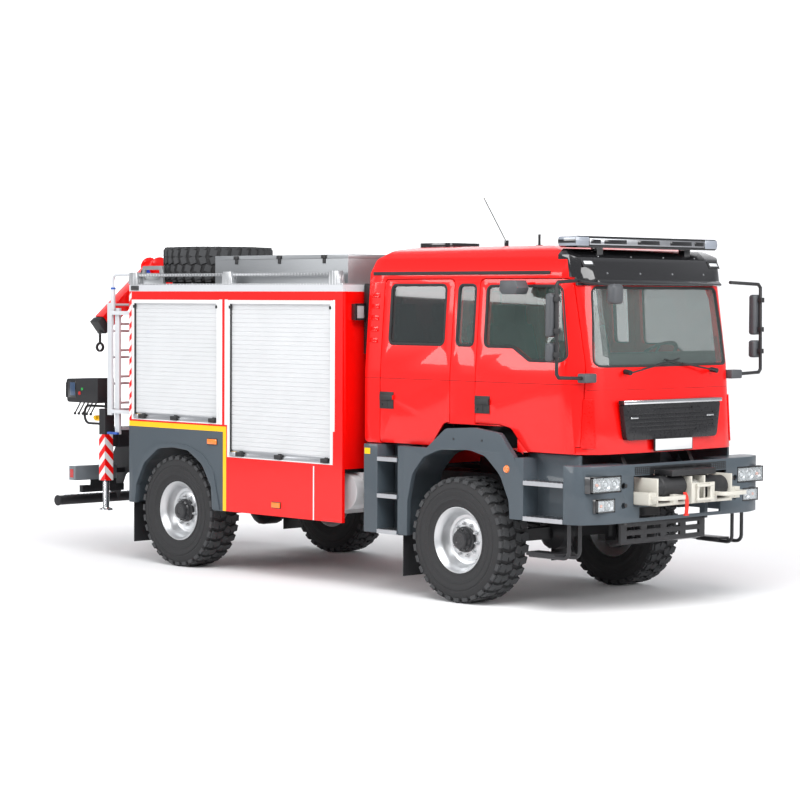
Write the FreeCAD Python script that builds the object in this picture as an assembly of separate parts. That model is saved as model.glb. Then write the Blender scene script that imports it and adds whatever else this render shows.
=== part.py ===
"""Rescue truck: two-axle all-wheel-drive chassis, crew cab, locker body and rear loading crane.

Millimetres.  X is lateral (truck's left is +X), Y runs rearwards, Z is up and the ground is z = 0.
Each sub-part is modelled with the front axle at y = 0 and is moved as a whole at export, so that
the origin ends on the ground under the middle of the truck.
"""
import FreeCAD, Part
import math
import os

V = FreeCAD.Vector

# ---------------------------------------------------------------- driving dimensions: whole truck
wheelbase = 3950.0
front_reach = 1850.0          # front axle to the foremost point, the winch's tow eyes
rear_overhang = 2200.0        # rear axle to the rearmost point, the underrun brackets
rear_reach = wheelbase + rear_overhang
tyre_radius = 565.0
tyre_width = 365.0
rim_radius = 300.0
wheel_track = 2090.0          # between the middles of the tyres
kingpin_inset = 185.0         # kingpin axis inboard of the tyre's middle
tyre_sides = 32               # flats round a tyre
rim_sides = 20                # flats round a rim
chord_turn = math.radians(24) # turn of one chord along a rounded corner
small_radius = 45.0           # corners up to this radius get half as many chords
bowed_radius = 380.0          # outlines bent more gently than this keep at least four chords
running_gap = 0.3             # between a moving piece and what carries it
panel_gap = 8.0               # round doors and lids
axle_height = tyre_radius
wheel_x = wheel_track / 2
kingpin_x = wheel_x - kingpin_inset

# ---------------------------------------------------------------- chassis
rail_outer_x = 430.0
rail_bottom = 860.0
rail_height = 250.0
rail_flange = 75.0
rail_thickness = 9.0
rail_front = -1180.0
rail_rear = rear_reach - 250
rail_top = rail_bottom + rail_height
spring_width = 80.0
engine_front = -1070.0
engine_length = 1030.0
engine_width = 620.0
engine_height = 850.0

# ---------------------------------------------------------------- cab
cab_half_width = 1120.0
cab_bottom = 1385.0
cab_front = -1450.0
cab_rear = 1300.0
cab_wall = 60.0
cab_belt = 2130.0
cab_gutter = 2950.0
cab_roof = 3195.0
tilt_axis_y = -1400.0
tilt_axis_z = 1100.0
tilt_pin_radius = 18.0
seal_depth = 15.0             # door seal flange behind each door
glass_thickness = 6.0

# ---------------------------------------------------------------- body
body_half_width = 1250.0
body_front = 1470.0
body_rear = wheelbase + 750
body_bottom = 617.0
body_top = 2850.0
body_wall = 35.0
body_floor_front = 1155.0     # floor of the front lockers
body_floor_rear = 1470.0      # floor of the rear lockers, over the wheels
arch_panel_front = wheelbase - 750
locker_front = (body_front + 130, arch_panel_front - 70)
locker_rear = (arch_panel_front + 60, body_rear - 50)
locker_head = 2700.0
shutter_thickness = 12.0
shutter_inset = 20.0
shutter_bar_height = 60.0
skirt_front_seam = 1860.0
arch_panel_top = 1400.0
arch_panel_thickness = 40.0

# ---------------------------------------------------------------- roof of the body
deck_thickness = 12.0
rail_tube_radius = 16.0
gallery_height = 125.0
roof_box_length = (body_front + 90, arch_panel_front + 300)
roof_box_outer_x = 1100.0
roof_box_inner_x = 480.0
roof_box_height = 275.0
roof_box_wall = 18.0
roof_lid_height = 40.0
spare_y = wheelbase + 160
spare_x = -550.0

# ---------------------------------------------------------------- crane and stabilisers
crane_y = body_rear + 650
crane_base_top = 1345.0
crane_base_height = 200.0
crane_base_half_length = 990.0
column_radius = 150.0
boom_foot = (300.0, 2350.0)   # x and z of the inner boom's foot pin
knuckle = (-400.0, 3040.0)    # x and z of the knuckle pin
boom_depth = 230.0
boom_width = 190.0
jib_length = 900.0
jib_angle = 220.0             # direction of the folded jib, degrees from +X towards +Z
leg_x = 1105.0
leg_size = 105.0
foot_bottom = 480.0
beam_depth = 130.0
underrun_y = rear_reach - 150
underrun_z = 540.0
underrun_radius = 52.0
underrun_half_length = 1200.0


# ---------------------------------------------------------------- small tools
def box(x0, x1, y0, y1, z0, z1):
    """A block between two corners, given in any order."""
    low = V(min(x0, x1), min(y0, y1), min(z0, z1))
    return Part.makeBox(abs(x1 - x0), abs(y1 - y0), abs(z1 - z0), low)


def rod(start, end, radius):
    """A round bar between two points."""
    a = V(*start)
    along = V(*end).sub(a)
    return Part.makeCylinder(radius, along.Length, a, along)


def ring(centre, axis, outer, inner, length):
    """A sleeve centred on a point."""
    a = V(*centre).sub(V(*axis).multiply(length / 2))
    return Part.makeCylinder(outer, length, a, V(*axis)).cut(Part.makeCylinder(inner, length, a, V(*axis)))


def corner_arc(before, here, after, radius):
    """Points along the arc that rounds the corner at a point, in short chords."""
    back = before.sub(here)
    on = after.sub(here)
    back.normalize()
    on.normalize()
    half = back.getAngle(on) / 2
    reach = radius / math.tan(half)
    bisector = back.add(on)
    bisector.normalize()
    centre = here.add(bisector.multiply(radius / math.sin(half)))
    start = here.add(V(back).multiply(reach)).sub(centre)
    end = here.add(V(on).multiply(reach)).sub(centre)
    turn = math.pi - 2 * half
    steps = max(1, math.ceil(turn / (chord_turn if radius > small_radius else 2 * chord_turn)))
    if radius > bowed_radius:
        steps = max(steps, 4)
    points = []
    for i in range(steps + 1):
        share = i / steps
        a = V(start).multiply(math.sin((1 - share) * turn) / math.sin(turn))
        points.append(centre.add(a.add(V(end).multiply(math.sin(share * turn) / math.sin(turn)))))
    return points


def outline(points, place):
    """A closed outline; a point with a third value is rounded by that radius."""
    flat = [V(p[0], p[1], 0) for p in points]
    route = []
    for i, here in enumerate(flat):
        if len(points[i]) > 2:
            route += corner_arc(flat[i - 1], here, flat[(i + 1) % len(flat)], points[i][2])
        else:
            route.append(here)
    corners = []
    for p in route:
        if not corners or p.distanceToPoint(corners[-1]) > 1e-3:
            corners.append(p)
    if corners[0].distanceToPoint(corners[-1]) < 1e-3:
        corners.pop()
    placed = [place(p) for p in corners]
    return Part.makePolygon(placed + [placed[0]])


def side_profile(points, x0, x1):
    """An outline in (y, z), extruded along X."""
    wire = outline(points, lambda p: V(x0, p.x, p.y))
    return Part.Face(wire).extrude(V(x1 - x0, 0, 0))


def front_profile(points, y0, y1):
    """An outline in (x, z), extruded along Y."""
    wire = outline(points, lambda p: V(p.x, y0, p.y))
    return Part.Face(wire).extrude(V(0, y1 - y0, 0))


def plan_profile(points, z0, z1):
    """An outline in (x, y), extruded along Z."""
    wire = outline(points, lambda p: V(p.x, p.y, z0))
    return Part.Face(wire).extrude(V(0, 0, z1 - z0))


def bar(start, end, radius, sides=8):
    """A slim bar of regular polygon section between two points."""
    return pipe([start, end], radius, 0, sides)


def eased(points, bend):
    """A route whose corners are cut into short chords of an arc."""
    nodes = [V(*p) for p in points]
    route = [nodes[0]]
    for before, here, after in zip(nodes, nodes[1:], nodes[2:]):
        route += corner_arc(before, here, after, bend)
    route.append(nodes[-1])
    return route


def faceted(rings, closed_ends=True):
    """A solid of flat faces skinned over a run of polygons with as many corners each."""
    faces = []
    sides = len(rings[0])
    for lower, upper in zip(rings, rings[1:]):
        for i in range(sides):
            j = (i + 1) % sides
            corners = [lower[i], lower[j], upper[j], upper[i]]
            if corners[0].distanceToPoint(corners[1]) < 1e-6:
                corners = corners[1:]
            elif corners[2].distanceToPoint(corners[3]) < 1e-6:
                corners = corners[:3]
            faces.append(Part.Face(Part.makePolygon(corners + [corners[0]])))
    if closed_ends:
        for ring_points in (rings[0], rings[-1]):
            faces.append(Part.Face(Part.makePolygon(ring_points + [ring_points[0]])))
    solid = Part.Solid(Part.Shell(faces))
    if solid.Volume < 0:
        solid.reverse()
    return solid


def pipe(points, radius, bend, sides=8):
    """A slim tube along a route, its corners mitred along short chords."""
    route = eased(points, bend) if len(points) > 2 else [V(*p) for p in points]
    along = route[1].sub(route[0])
    along.normalize()
    aside = V(0, 0, 1) if abs(along.z) < 0.8 else V(0, 1, 0)
    across = along.cross(aside)
    across.normalize()
    up = across.cross(along)
    section = []
    for i in range(sides):
        turn = (i + 0.5) * math.tau / sides
        section.append(route[0].add(V(across).multiply(radius * math.cos(turn))).add(V(up).multiply(radius * math.sin(turn))))
    rings = [section]
    for k in range(1, len(route)):
        run = route[k].sub(route[k - 1])
        run.normalize()
        normal = V(run)
        if k + 1 < len(route):
            ahead = route[k + 1].sub(route[k])
            ahead.normalize()
            normal = run.add(ahead)
        moved = []
        for p in rings[-1]:
            travel = route[k].sub(p).dot(normal) / run.dot(normal)
            moved.append(p.add(V(run).multiply(travel)))
        rings.append(moved)
    return faceted(rings)


def turned(points, centre, axis, sides):
    """A closed outline of (distance along the axis, radius) carried round an axis in flat facets."""
    along = V(*axis)
    along.normalize()
    aside = V(1, 0, 0) if abs(along.x) < 0.5 else V(0, 0, 1)
    other = along.cross(aside)
    base = V(*centre)
    rings = []
    for distance, radius in list(points) + [points[0]]:
        circle = []
        for i in range(sides):
            turn = (i + 0.5) * math.tau / sides
            reach = V(aside).multiply(radius * math.cos(turn)).add(V(other).multiply(radius * math.sin(turn)))
            circle.append(base.add(V(along).multiply(distance)).add(reach))
        rings.append(circle)
    return faceted(rings, False)


def joined(shapes):
    """One shape from several that touch or overlap."""
    shapes = list(shapes)
    if len(shapes) == 1:
        return shapes[0]
    return shapes[0].multiFuse(shapes[1:]).removeSplitter()


def panelled(shape, *regions):
    """A welded shell parted into its panels: what lies in each region in turn, then the rest."""
    panels = []
    for region in regions:
        panels.append(shape.common(region))
        shape = shape.cut(region)
    return panels + [shape]


nodes_written = {}


def save(name, *shapes):
    """Write a node's solids in the truck's own frame."""
    solids = []
    for shape in shapes:
        solids.extend(shape.Solids)
    whole = Part.makeCompound(solids)
    whole.translate(V(0, (front_reach - rear_reach) / 2, 0))
    nodes_written[name] = whole
    whole.exportStep("parts/" + name + ".step")


# ---------------------------------------------------------------- wheels
def tyre(centre, axis):
    """A tyre with flat tread, sloped shoulders and bulged walls."""
    half = tyre_width / 2
    bead = rim_radius - 28
    crown = tyre_radius / math.cos(math.pi / tyre_sides)
    profile = [(-half + 40, bead), (-half + 34, rim_radius + 4), (-half, 440), (-half + 12, crown - 45),
               (-half + 40, crown), (half - 40, crown), (half - 12, crown - 45), (half, 440),
               (half - 34, rim_radius + 4), (half - 40, bead)]
    return turned(profile, centre, axis, tyre_sides)


def rim(centre, axis, hub_length):
    """A dished steel rim with its hub; the axis points outboard."""
    half = tyre_width / 2
    bead = rim_radius - 28
    seat = (bead - running_gap) * math.cos(math.pi / tyre_sides)
    profile = [(-half + 40, seat), (half - 39.7, seat), (half - 33, rim_radius - 2), (half - 22, rim_radius - 2),
               (half - 26, rim_radius - 20), (half - 60, bead - 26), (half - 158, 225), (half - 140, 195),
               (half - 140, 118), (half - 40, 112), (half - 34, 0.01), (-hub_length, 0.01), (-hub_length, 120),
               (half - 162, 130), (half - 182, 235), (-half + 60, bead - 34)]
    return turned(profile, centre, axis, rim_sides)


def wheels():
    for end, y in (("front", 0.0), ("rear", wheelbase)):
        for side, sign in (("right", -1), ("left", 1)):
            centre = (sign * wheel_x, y, axle_height)
            axis = (sign, 0, 0)
            save("wheel_" + end + "_" + side, tyre(centre, axis), rim(centre, axis, hub_inset))


hub_inset = 60.0              # the hub reaches this far inboard of the tyre's middle
stub_radius = 45.0
kingpin_radius = 28.0
kingpin_half = 130.0
knuckle_boss_radius = 62.0


def knuckles():
    """Steering knuckles: a kingpin boss with its stub axle and brake disc."""
    for side, sign in (("right", -1), ("left", 1)):
        pin = sign * kingpin_x
        face = sign * (wheel_x - hub_inset - running_gap)
        boss = ring((pin, 0, axle_height), (0, 0, 1), knuckle_boss_radius, kingpin_radius + running_gap,
                    2 * kingpin_half - 80)
        plate = box(pin + sign * 45, face, -75, 75, axle_height - 75, axle_height + 75)
        disc = Part.makeCylinder(205, 30, V(face, 0, axle_height), V(-sign, 0, 0))
        arm = box(pin + sign * 20, pin + sign * 52, 40, 230, axle_height - 90, axle_height - 55)
        save("knuckle_" + side, joined([boss, plate, disc, arm]))


# ---------------------------------------------------------------- chassis pieces
def channel(x, y0, y1, open_towards):
    """One rail: a C section with its web at x and its flanges towards the middle."""
    web = box(x, x + open_towards * rail_thickness, y0, y1, rail_bottom, rail_top)
    low = box(x, x + open_towards * rail_flange, y0, y1, rail_bottom, rail_bottom + rail_thickness)
    high = box(x, x + open_towards * rail_flange, y0, y1, rail_top - rail_thickness, rail_top)
    return [web, low, high]


body_bearer_height = 10.0


def chassis_frame():
    pieces = []
    for sign in (-1, 1):
        pieces += channel(sign * rail_outer_x, rail_front, rail_rear, -sign)
        pieces.append(box(sign * (rail_outer_x - rail_flange), sign * rail_outer_x, body_front, body_rear,
                          rail_top, rail_top + body_bearer_height))
    inner = rail_outer_x - rail_thickness
    middle = rail_bottom + rail_height / 2
    for y in (rail_front + 60, 1500, 2300, wheelbase - 620, wheelbase + 620, rail_rear - 60):
        pieces.append(bar((-inner, y, middle), (inner, y, middle), 45))
    for y in (1560, 2300, 3120):
        for sign in (-1, 1):
            pieces.append(box(sign * rail_outer_x, sign * 1180, y - 25, y + 25, rail_top - 30, rail_top + body_bearer_height))
    for sign in (-1, 1):
        pieces.append(box(sign * 300, sign * 425, rail_front - 120, rail_front + 20, rail_bottom, rail_top - 48))
        pieces.append(box(sign * 385, sign * rail_outer_x, tilt_axis_y - 45, rail_front + 20, tilt_axis_z - 36, tilt_axis_z + 40))
        pieces.append(rod((sign * 400, tilt_axis_y, tilt_axis_z), (sign * 490, tilt_axis_y, tilt_axis_z), tilt_pin_radius))
    save("chassis_frame", joined(pieces))


def leaf_spring(x, y, half_length, top, arch):
    """A leaf pack, arched downwards, with its eyes and hanger brackets."""
    depth = 50.0
    lower = [(y - half_length, top), (y - half_length, top - depth * 0.5), (y - half_length * 0.4, top - arch - depth),
             (y + half_length * 0.4, top - arch - depth), (y + half_length, top - depth * 0.5),
             (y + half_length, top), (y + half_length * 0.4, top - arch), (y - half_length * 0.4, top - arch)]
    pack = side_profile(lower, x - spring_width / 2, x + spring_width / 2)
    hangers = []
    for end in (-1, 1):
        hangers.append(box(x - spring_width / 2, x + spring_width / 2, y + end * half_length - 35,
                           y + end * half_length + 35, top - 30, rail_bottom))
    return [pack] + hangers


def axles():
    spring_x = rail_outer_x - spring_width / 2
    front = []
    beam = box(-kingpin_x + 90, kingpin_x - 90, -55, 55, axle_height - 60, axle_height + 50)
    front += [beam, turned([(-150, 0.01), (-150, 90), (-70, 165), (70, 165), (150, 90), (150, 0.01)],
                           (120, 0, axle_height), (1, 0, 0), 14)]
    for sign in (-1, 1):
        pin = sign * kingpin_x
        yoke_outer = box(pin - sign * 110, pin + sign * 40, -45, 45, axle_height - kingpin_half, axle_height + kingpin_half)
        space = box(pin - sign * (knuckle_boss_radius + 14), pin + sign * 60, -60, 60,
                    axle_height - kingpin_half + 39.7, axle_height + kingpin_half - 39.7)
        front.append(yoke_outer.cut(space))
        front.append(rod((pin, 0, axle_height - kingpin_half + 5), (pin, 0, axle_height + kingpin_half - 5), kingpin_radius))
        front.append(box(sign * (spring_x - 45), sign * (spring_x + 45), -60, 60, axle_height, 700))
        front += leaf_spring(sign * spring_x, 0, 700, rail_bottom - 40, 90)
    rear = []
    face = wheel_x - hub_inset - running_gap
    rear.append(rod((-face, wheelbase, axle_height), (face, wheelbase, axle_height), 70))
    rear.append(turned([(-210, 0.01), (-210, 90), (-90, 205), (90, 205), (210, 90), (210, 0.01)],
                       (0, wheelbase, axle_height), (1, 0, 0), 16))
    for sign in (-1, 1):
        rear.append(Part.makeCylinder(205, 90, V(sign * face, wheelbase, axle_height), V(-sign, 0, 0)))
        rear.append(box(sign * (spring_x - 45), sign * (spring_x + 45), wheelbase - 70, wheelbase + 70, axle_height, 700))
        rear += leaf_spring(sign * spring_x, wheelbase, 720, rail_bottom - 40, 90)
    save("axles", joined(front), joined(rear))


def engine_and_driveline():
    """The engine as one plain block, with gearbox, transfer case and propeller shafts."""
    engine = box(-engine_width / 2, engine_width / 2, engine_front, engine_front + engine_length, 780, 780 + engine_height)
    narrow = box(-engine_width / 2, -rail_outer_x + rail_flange + 10, -1100, 200, 700, rail_top + 5)
    narrow_left = box(engine_width / 2, rail_outer_x - rail_flange - 10, -1100, 200, 700, rail_top + 5)
    engine = engine.cut(narrow).cut(narrow_left)
    gearbox = box(-190, 190, -40, 700, 840, 1240)
    transfer = box(-200, 240, 1050, 1450, 620, 1080)
    shafts = [bar((0, 695, 1000), (0, 1055, 950), 45),
              bar((0, 1445, 800), (0, wheelbase - 214, axle_height + 20), 50),
              bar((130, 1055, 690), (130, 178, axle_height + 20), 38)]
    web = rail_outer_x - rail_thickness - running_gap
    mounts = [box(-web, web, -900, -820, rail_bottom + 60, rail_bottom + 120)]
    mounts.append(box(-web, web, 1180, 1260, rail_bottom + 60, rail_bottom + 120))
    save("engine_and_driveline", joined([engine, gearbox, transfer] + mounts + shafts))


def side_tanks():
    """Silencer drum on the right, fuel tank on the left, air tanks and battery box between the axles."""
    drum = [rod((-1100, 1600, 900), (-470, 1600, 900), 175), box(-700, -rail_outer_x, 1540, 1660, 1000, 1060)]
    drum.append(box(-1000, -960, 1450, 1750, 985, rail_top - 30))
    fuel = side_profile([(1330, 560, 60), (1840, 560, 60), (1840, 1060, 60), (1330, 1060, 60)], 480, 1100)
    fuel_bracket = box(rail_outer_x, 500, 1400, 1760, 900, 960)
    stowage = [box(sign * rail_outer_x, sign * 1125, 1960, 2560, 645, 1040) for sign in (-1, 1)]
    bottles = []
    for sign in (-1, 1):
        bottle = rod((sign * 620, 2640, 900), (sign * 620, 3080, 900), 120)
        bottles.append(joined([bottle, box(sign * rail_outer_x, sign * 640, 2780, 2840, 960, 1010)]))
    save("side_tanks", joined(drum), joined([fuel, fuel_bracket]), *stowage, *bottles)


bumper_front = -1560.0


def bumper():
    """Dark bumper shell with lamp wells, open in the middle for the winch, and the skid plate."""
    half = 1245.0
    front = bumper_front
    rear = front + 270
    outer = plan_profile([(-half, rear), (-half, front + 110, 120), (-half + 260, front, 200),
                          (half - 260, front, 200), (half, front + 110, 120), (half, rear)], 800, 1300)
    inner = plan_profile([(-half + 22, rear + 1), (-half + 22, front + 130, 100), (-half + 275, front + 22, 180),
                          (half - 275, front + 22, 180), (half - 22, front + 130, 100), (half - 22, rear + 1)], 780, 1310)
    ledge = outer.common(box(-half, half, front - 10, rear, 1285, 1300))
    shell = joined([outer.cut(inner), ledge.cut(box(-640, 640, front + 15, rear + 10, 1200, 1310)),
                    box(-640, 640, front + 15, front + 40, 1266, 1298)])
    for sign in (-1, 1):
        shell = shell.cut(box(sign * 800, sign * 1180, front - 50, front + 140, 1070, 1215))
        shell = shell.cut(box(sign * 880, sign * 1110, front - 50, front + 100, 900, 1020))
        for z in (950, 1120):
            shell = shell.cut(rod((sign * 770, front - 50, z), (sign * 770, front + 60, z), 28))
    shell = shell.cut(box(-420, 420, front - 50, front + 50, 1130, 1266))
    shell = shell.cut(box(-640, 640, front - 50, front + 50, 930, 1200))
    shell = shell.cut(box(-560, 560, front - 50, front + 50, 830, 940))
    beam = box(-1150, 1150, front + 190, front + 250, 900, 1060)
    ties = []
    for sign in (-1, 1):
        ties.append(box(sign * 660, sign * 720, front + 15, front + 195, 900, 1040))
        ties.append(box(sign * 1145, sign * 1230, front + 190, front + 250, 900, 1055))
        ties.append(box(sign * 300, sign * 400, front + 245, rail_front - 120, 900, 1060))
        ties.append(box(sign * 540, sign * 580, front + 160, front + 220, 760, 910))
    skid = box(-580, 580, front + 190, front + 215, 590, 790)
    for i in range(4):
        for j in range(2):
            x = -500 + i * 270
            skid = skid.cut(box(x, x + 190, front + 150, front + 250, 630 + j * 75, 660 + j * 75))
    lip = side_profile([(front + 190, 590), (front + 330, 560), (front + 330, 575), (front + 190, 606)], -580, 580)
    steps = []
    for sign in (-1, 1):
        steps.append(pipe([(sign * 1050, -1312, 830), (sign * 1050, -1312, 500), (sign * 1110, -860, 500)], 17, 60))
        steps.append(pipe([(sign * 1190, -1312, 830), (sign * 1190, -1312, 500), (sign * 1190, -860, 500)], 17, 60))
        steps.append(box(sign * 1040, sign * 1205, -1160, -830, 500, 530))
        steps.append(box(sign * 1030, sign * 1240, -1335, -1290, 820, 910))
        steps.append(box(sign * 1140, sign * 1200, -1335, -1310, 900, 960))
    save("front_bumper", joined([shell, beam, skid, lip] + ties + steps))


def winch():
    """Recovery winch: drum between side plates, motor, control box, roller fairlead and tow eyes."""
    front = 130 - front_reach
    rear = -1465.0
    middle = (front + rear) / 2
    plates = [box(x, x + 20, front, rear, 940, 1180) for x in (-520, -60, 120, 500)]
    drum = bar((-40, middle, 1070), (120, middle, 1070), 62, 16)
    motor = bar((-500, middle, 1100), (-60, middle, 1100), 78, 16)
    gear = bar((140, middle, 1070), (500, middle, 1070), 92, 16)
    base = box(-520, 520, front + 10, rear, 940, 960).fuse(box(-420, 420, rear - 10, -1370, 940, 960))
    control = box(-300, 300, middle - 95, middle + 95, 1190, 1240)
    posts = [box(x, x + 14, middle - 40, middle + 40, 1160, 1192) for x in (-290, 276)]
    fairlead = [box(-70, 250, front - 18, front, 950, 1120).cut(box(10, 170, front - 20, front + 2, 985, 1085))]
    rollers = [bar((x, front - 30, 955), (x, front - 30, 1115), 14) for x in (0, 180)]
    rollers += [bar((-20, front - 36, z), (200, front - 36, z), 12) for z in (975, 1095)]
    eyes = []
    for sign in (-1, 1):
        eye = plan_profile([(sign * 250, front + 20), (sign * 250, -front_reach, 60), (sign * 600, -front_reach, 60),
                            (sign * 600, front + 20)], 1000, 1034)
        slot = plan_profile([(sign * 284, front + 40), (sign * 284, -front_reach + 34, 30),
                             (sign * 566, -front_reach + 34, 30), (sign * 566, front + 40)], 990, 1044)
        eyes.append(eye.cut(slot))
        eyes.append(box(sign * 560, sign * 630, front, rear, 960, 1060))
        eyes.append(box(sign * 500, sign * 630, front + 5, front + 70, 960, 1060))
        eyes.append(box(sign * 240, sign * 300, front - 5, front + 40, 950, 1034))
    save("winch", joined(plates + [drum, motor, gear, base, control] + posts + fairlead + rollers + eyes))


def lamps():
    """Lamp bodies: head lamps, fog lamps, side markers, work lamps and rear clusters."""
    pieces = []
    front = bumper_front
    for sign in (-1, 1):
        pieces.append(box(sign * 800.3, sign * 1179.7, front + 22.3, front + 185, 1070.3, 1214.7))
        pieces.append(box(sign * 880.3, sign * 1109.7, front + 22.3, front + 185, 900.3, 1019.7))
        pieces.append(box(sign * body_half_width, sign * (body_half_width + 14), arch_panel_front + 90, arch_panel_front + 230, 1270, 1320))
        pieces.append(box(sign * body_half_width, sign * (body_half_width + 14), skirt_front_seam + 480,
                          skirt_front_seam + 600, 700, 750))
        pieces.append(box(sign * 1020, sign * 1140, body_front - 60, body_front, 2520, 2670))
        pieces.append(box(sign * body_half_width, sign * (body_half_width + 10), body_rear - 160, body_rear - 40, 2795, 2842))
        pieces.append(box(sign * 640, sign * 1195, underrun_y - 300, underrun_y - 185, 770, 925))
    save("lamps", *pieces)


def fender_side(sign):
    """A front mudguard with the cab steps before and behind the wheel."""
    out = sign * 1215
    arch = [(640, 560), (635, 880, 60), (575, 1130, 150), (430, 1290, 120), (230, 1365, 200), (-150, 1380, 200),
            (-340, 1335, 120), (-520, 1180, 150), (-625, 960, 60), (-640, 800)]
    rim_line = [(-800, 800), (-780, 1060, 60), (-690, 1340, 60), (-510, 1545, 60), (-200, 1580, 80), (150, 1560, 80),
                (390, 1375), (760, 1375), (760, 560)]
    skin = side_profile(arch + rim_line, out, sign * 1165)
    liner_out = [(700, 560), (700, 900, 80), (620, 1150, 160), (455, 1312, 130), (240, 1384, 200), (-160, 1396, 200),
                 (-370, 1352, 130), (-570, 1190, 160), (-690, 960, 60), (-700, 800)]
    liner_in = [(-688, 800), (-678, 960, 60), (-560, 1182, 155), (-364, 1340, 125), (-158, 1384, 195),
                (238, 1372, 195), (449, 1302, 125), (610, 1142, 155), (688, 895, 75), (688, 560)]
    liner = side_profile(liner_out + liner_in, sign * 775, sign * 1180)
    front_steps = []
    for z in (820, 1130):
        front_steps.append(box(sign * 1020, sign * 1230, -1285, -795, z - 20, z + 10))
    back_wall = box(sign * 1000, sign * 1025, -1288, -700, 800, 1375)
    side_walls = [box(sign * 1000, sign * 1215, -1288, -1268, 800, 1300), box(sign * 1000, sign * 1215, -800, -700, 800, 1340)]
    stay = box(sign * rail_outer_x, sign * 1010, -1000, -940, 960, 1040)
    crew = [box(sign * 1000, sign * 1215, 1030, 1210, 555, 1375), box(sign * 960, sign * 1215, 700, 762, 555, 1375),
            box(sign * 960, sign * 985, 700, 1210, 555, 1375)]
    for z in (560, 890, 1230):
        crew.append(box(sign * 980, sign * 1225, 755, 1035, z, z + 28))
    crew_stay = box(sign * rail_outer_x, sign * 970, 1090, 1150, 960, 1040)
    flap = box(sign * 830, sign * 1190, 705, 713, 180, 570)
    whole = joined([skin, liner, back_wall, stay, crew_stay, flap] + front_steps + side_walls + crew)
    step_unit = box(sign * 400, sign * 1300, -1400, -795, 300, 1700)
    crew_unit = box(sign * 400, sign * 1300, 702, 1400, 100, 1700)
    crest = box(sign * 1100, sign * 1300, -1400, 1400, 1380, 1700)
    outer_skin = box(sign * 1181, sign * 1300, -1400, 1400, 300, 1700)
    return panelled(whole, step_unit, crew_unit, crest, outer_skin)


def front_fenders():
    save("front_fenders", *fender_side(-1), *fender_side(1))


def air_intake():
    """Raised air intake behind the cab's right rear corner: louvred head, duct and bellows."""
    x0 = -1005.0
    x1 = -840.0
    y0 = 1340.0
    y1 = 1440.0
    head = side_profile([(y0, 2200), (y0, 2810, 30), (y0 + 30, 2860, 20), (y1, 2860, 20), (y1, 2200)], x0, x1)
    pieces = [head.cut(box(x0 + 20, x1 - 20, y0 + 20, y1 - 20, 2190, 2840))]
    pieces.append(box(x0 + 15, x1 - 15, y0 + 12, y1 - 12, 1860, 2210))
    for i in range(7):
        z = 1300 + i * 80
        pieces.append(box(x0 + 10, x1 - 10, y0 + 8, y1 - 8, z, z + 52))
    pieces.append(box(x0 + 25, x1 - 25, y0 + 20, y1 - 20, 1150, 1900))
    pieces.append(box(x0 + 25, -rail_outer_x, y0 + 20, y1 - 20, 1040, 1160))
    save("air_intake", joined(pieces))


# ---------------------------------------------------------------- cab
cab_belt_line = 2050.0        # the sides lean inwards above this line
cab_side_lean = 66.0          # from the belt line to the gutter
face_lean_low = 50.0          # the face leans back by this much up to the windscreen's foot
face_lean_high = 125.0        # and by this much more up to the gutter


def cab_face_section(z, half, front):
    """A horizontal section: bowed front and round front corners, running past the cab's rear."""
    rear = cab_rear + 400
    points = [(-half, rear), (-half, front + 250, 150), (-half + 230, front + 45, 240), (0, front, 2600),
              (half - 230, front + 45, 240), (half, front + 250, 150), (half, rear)]
    return Part.Face(outline(points, lambda p: V(p.x, p.y, z)))


def cab_volume(inset):
    """The space inside the cab's outer surface moved inwards by an amount."""
    half = cab_half_width - inset
    floor = cab_bottom + inset
    top = cab_roof - inset
    front = cab_front + inset
    rear = cab_rear - inset
    parts = []
    for low, high, lean, start in ((cab_bottom, cab_belt, face_lean_low, front),
                                   (cab_belt, cab_gutter, face_lean_high, front + face_lean_low)):
        section = cab_face_section(low, half, start)
        run = V(0, lean, high - low)
        below = V(run).multiply(-0.2)
        section.translate(below)
        prism = section.extrude(V(run).multiply(2.0))
        ceiling = cab_belt if low == cab_bottom else cab_roof + 100
        parts.append(prism.common(box(-1300, 1300, cab_front - 300, cab_rear + 300, low, ceiling)))
    face = parts[0].fuse(parts[1])
    side = side_profile([(rear, floor, 40), (rear, cab_gutter + 10, 60), (rear - 35, top - 110, 60),
                         (rear - 160, top - 30, 80), (rear - 340, top, 300), (front + 720, top, 300),
                         (front + 440, top - 55, 150), (front + 280, top - 135, 100),
                         (front + 185, cab_gutter - 50, 60), (front - 200, cab_belt), (front - 200, floor)],
                        -half - 10, half + 10)
    roof = [(half - cab_side_lean, cab_gutter, 60), (half - 118, top - 110, 80), (half - 215, top - 30, 100),
            (half - 330, top, 250)]
    right = [(half, floor), (half, cab_belt_line, 500)] + roof
    left = [(-p[0],) + tuple(p[1:]) for p in reversed(right)]
    section = front_profile(right + left, cab_front - 300, cab_rear + 500)
    return face.common(side).common(section)


arch_top = 1610.0             # the cab's wheel housings over the mudguards
front_door_outline = [(-1283, 1392, 30), (-745, 1392, 40), (-560, 1590, 80), (-420, 1615), (-127, 1615),
                      (-127, 2895, 45), (-1150, 2895, 60), (-1283, 2140, 200)]
rear_door_outline = [(197, 1615), (270, 1600, 60), (430, 1392, 40), (1093, 1392, 30), (1093, 2895, 50), (197, 2895, 50)]
front_window = [(-215, 2300, 45), (-560, 2300, 60), (-760, 2185, 60), (-1175, 2185, 60), (-1090, 2835, 50),
                (-215, 2835, 50)]
rear_window = [(295, 2305, 50), (1000, 2305, 50), (1000, 2845, 50), (295, 2845, 50)]
quarter_window = [(-75, 2305, 40), (135, 2305, 40), (135, 2845, 40), (-75, 2845, 40)]


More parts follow.
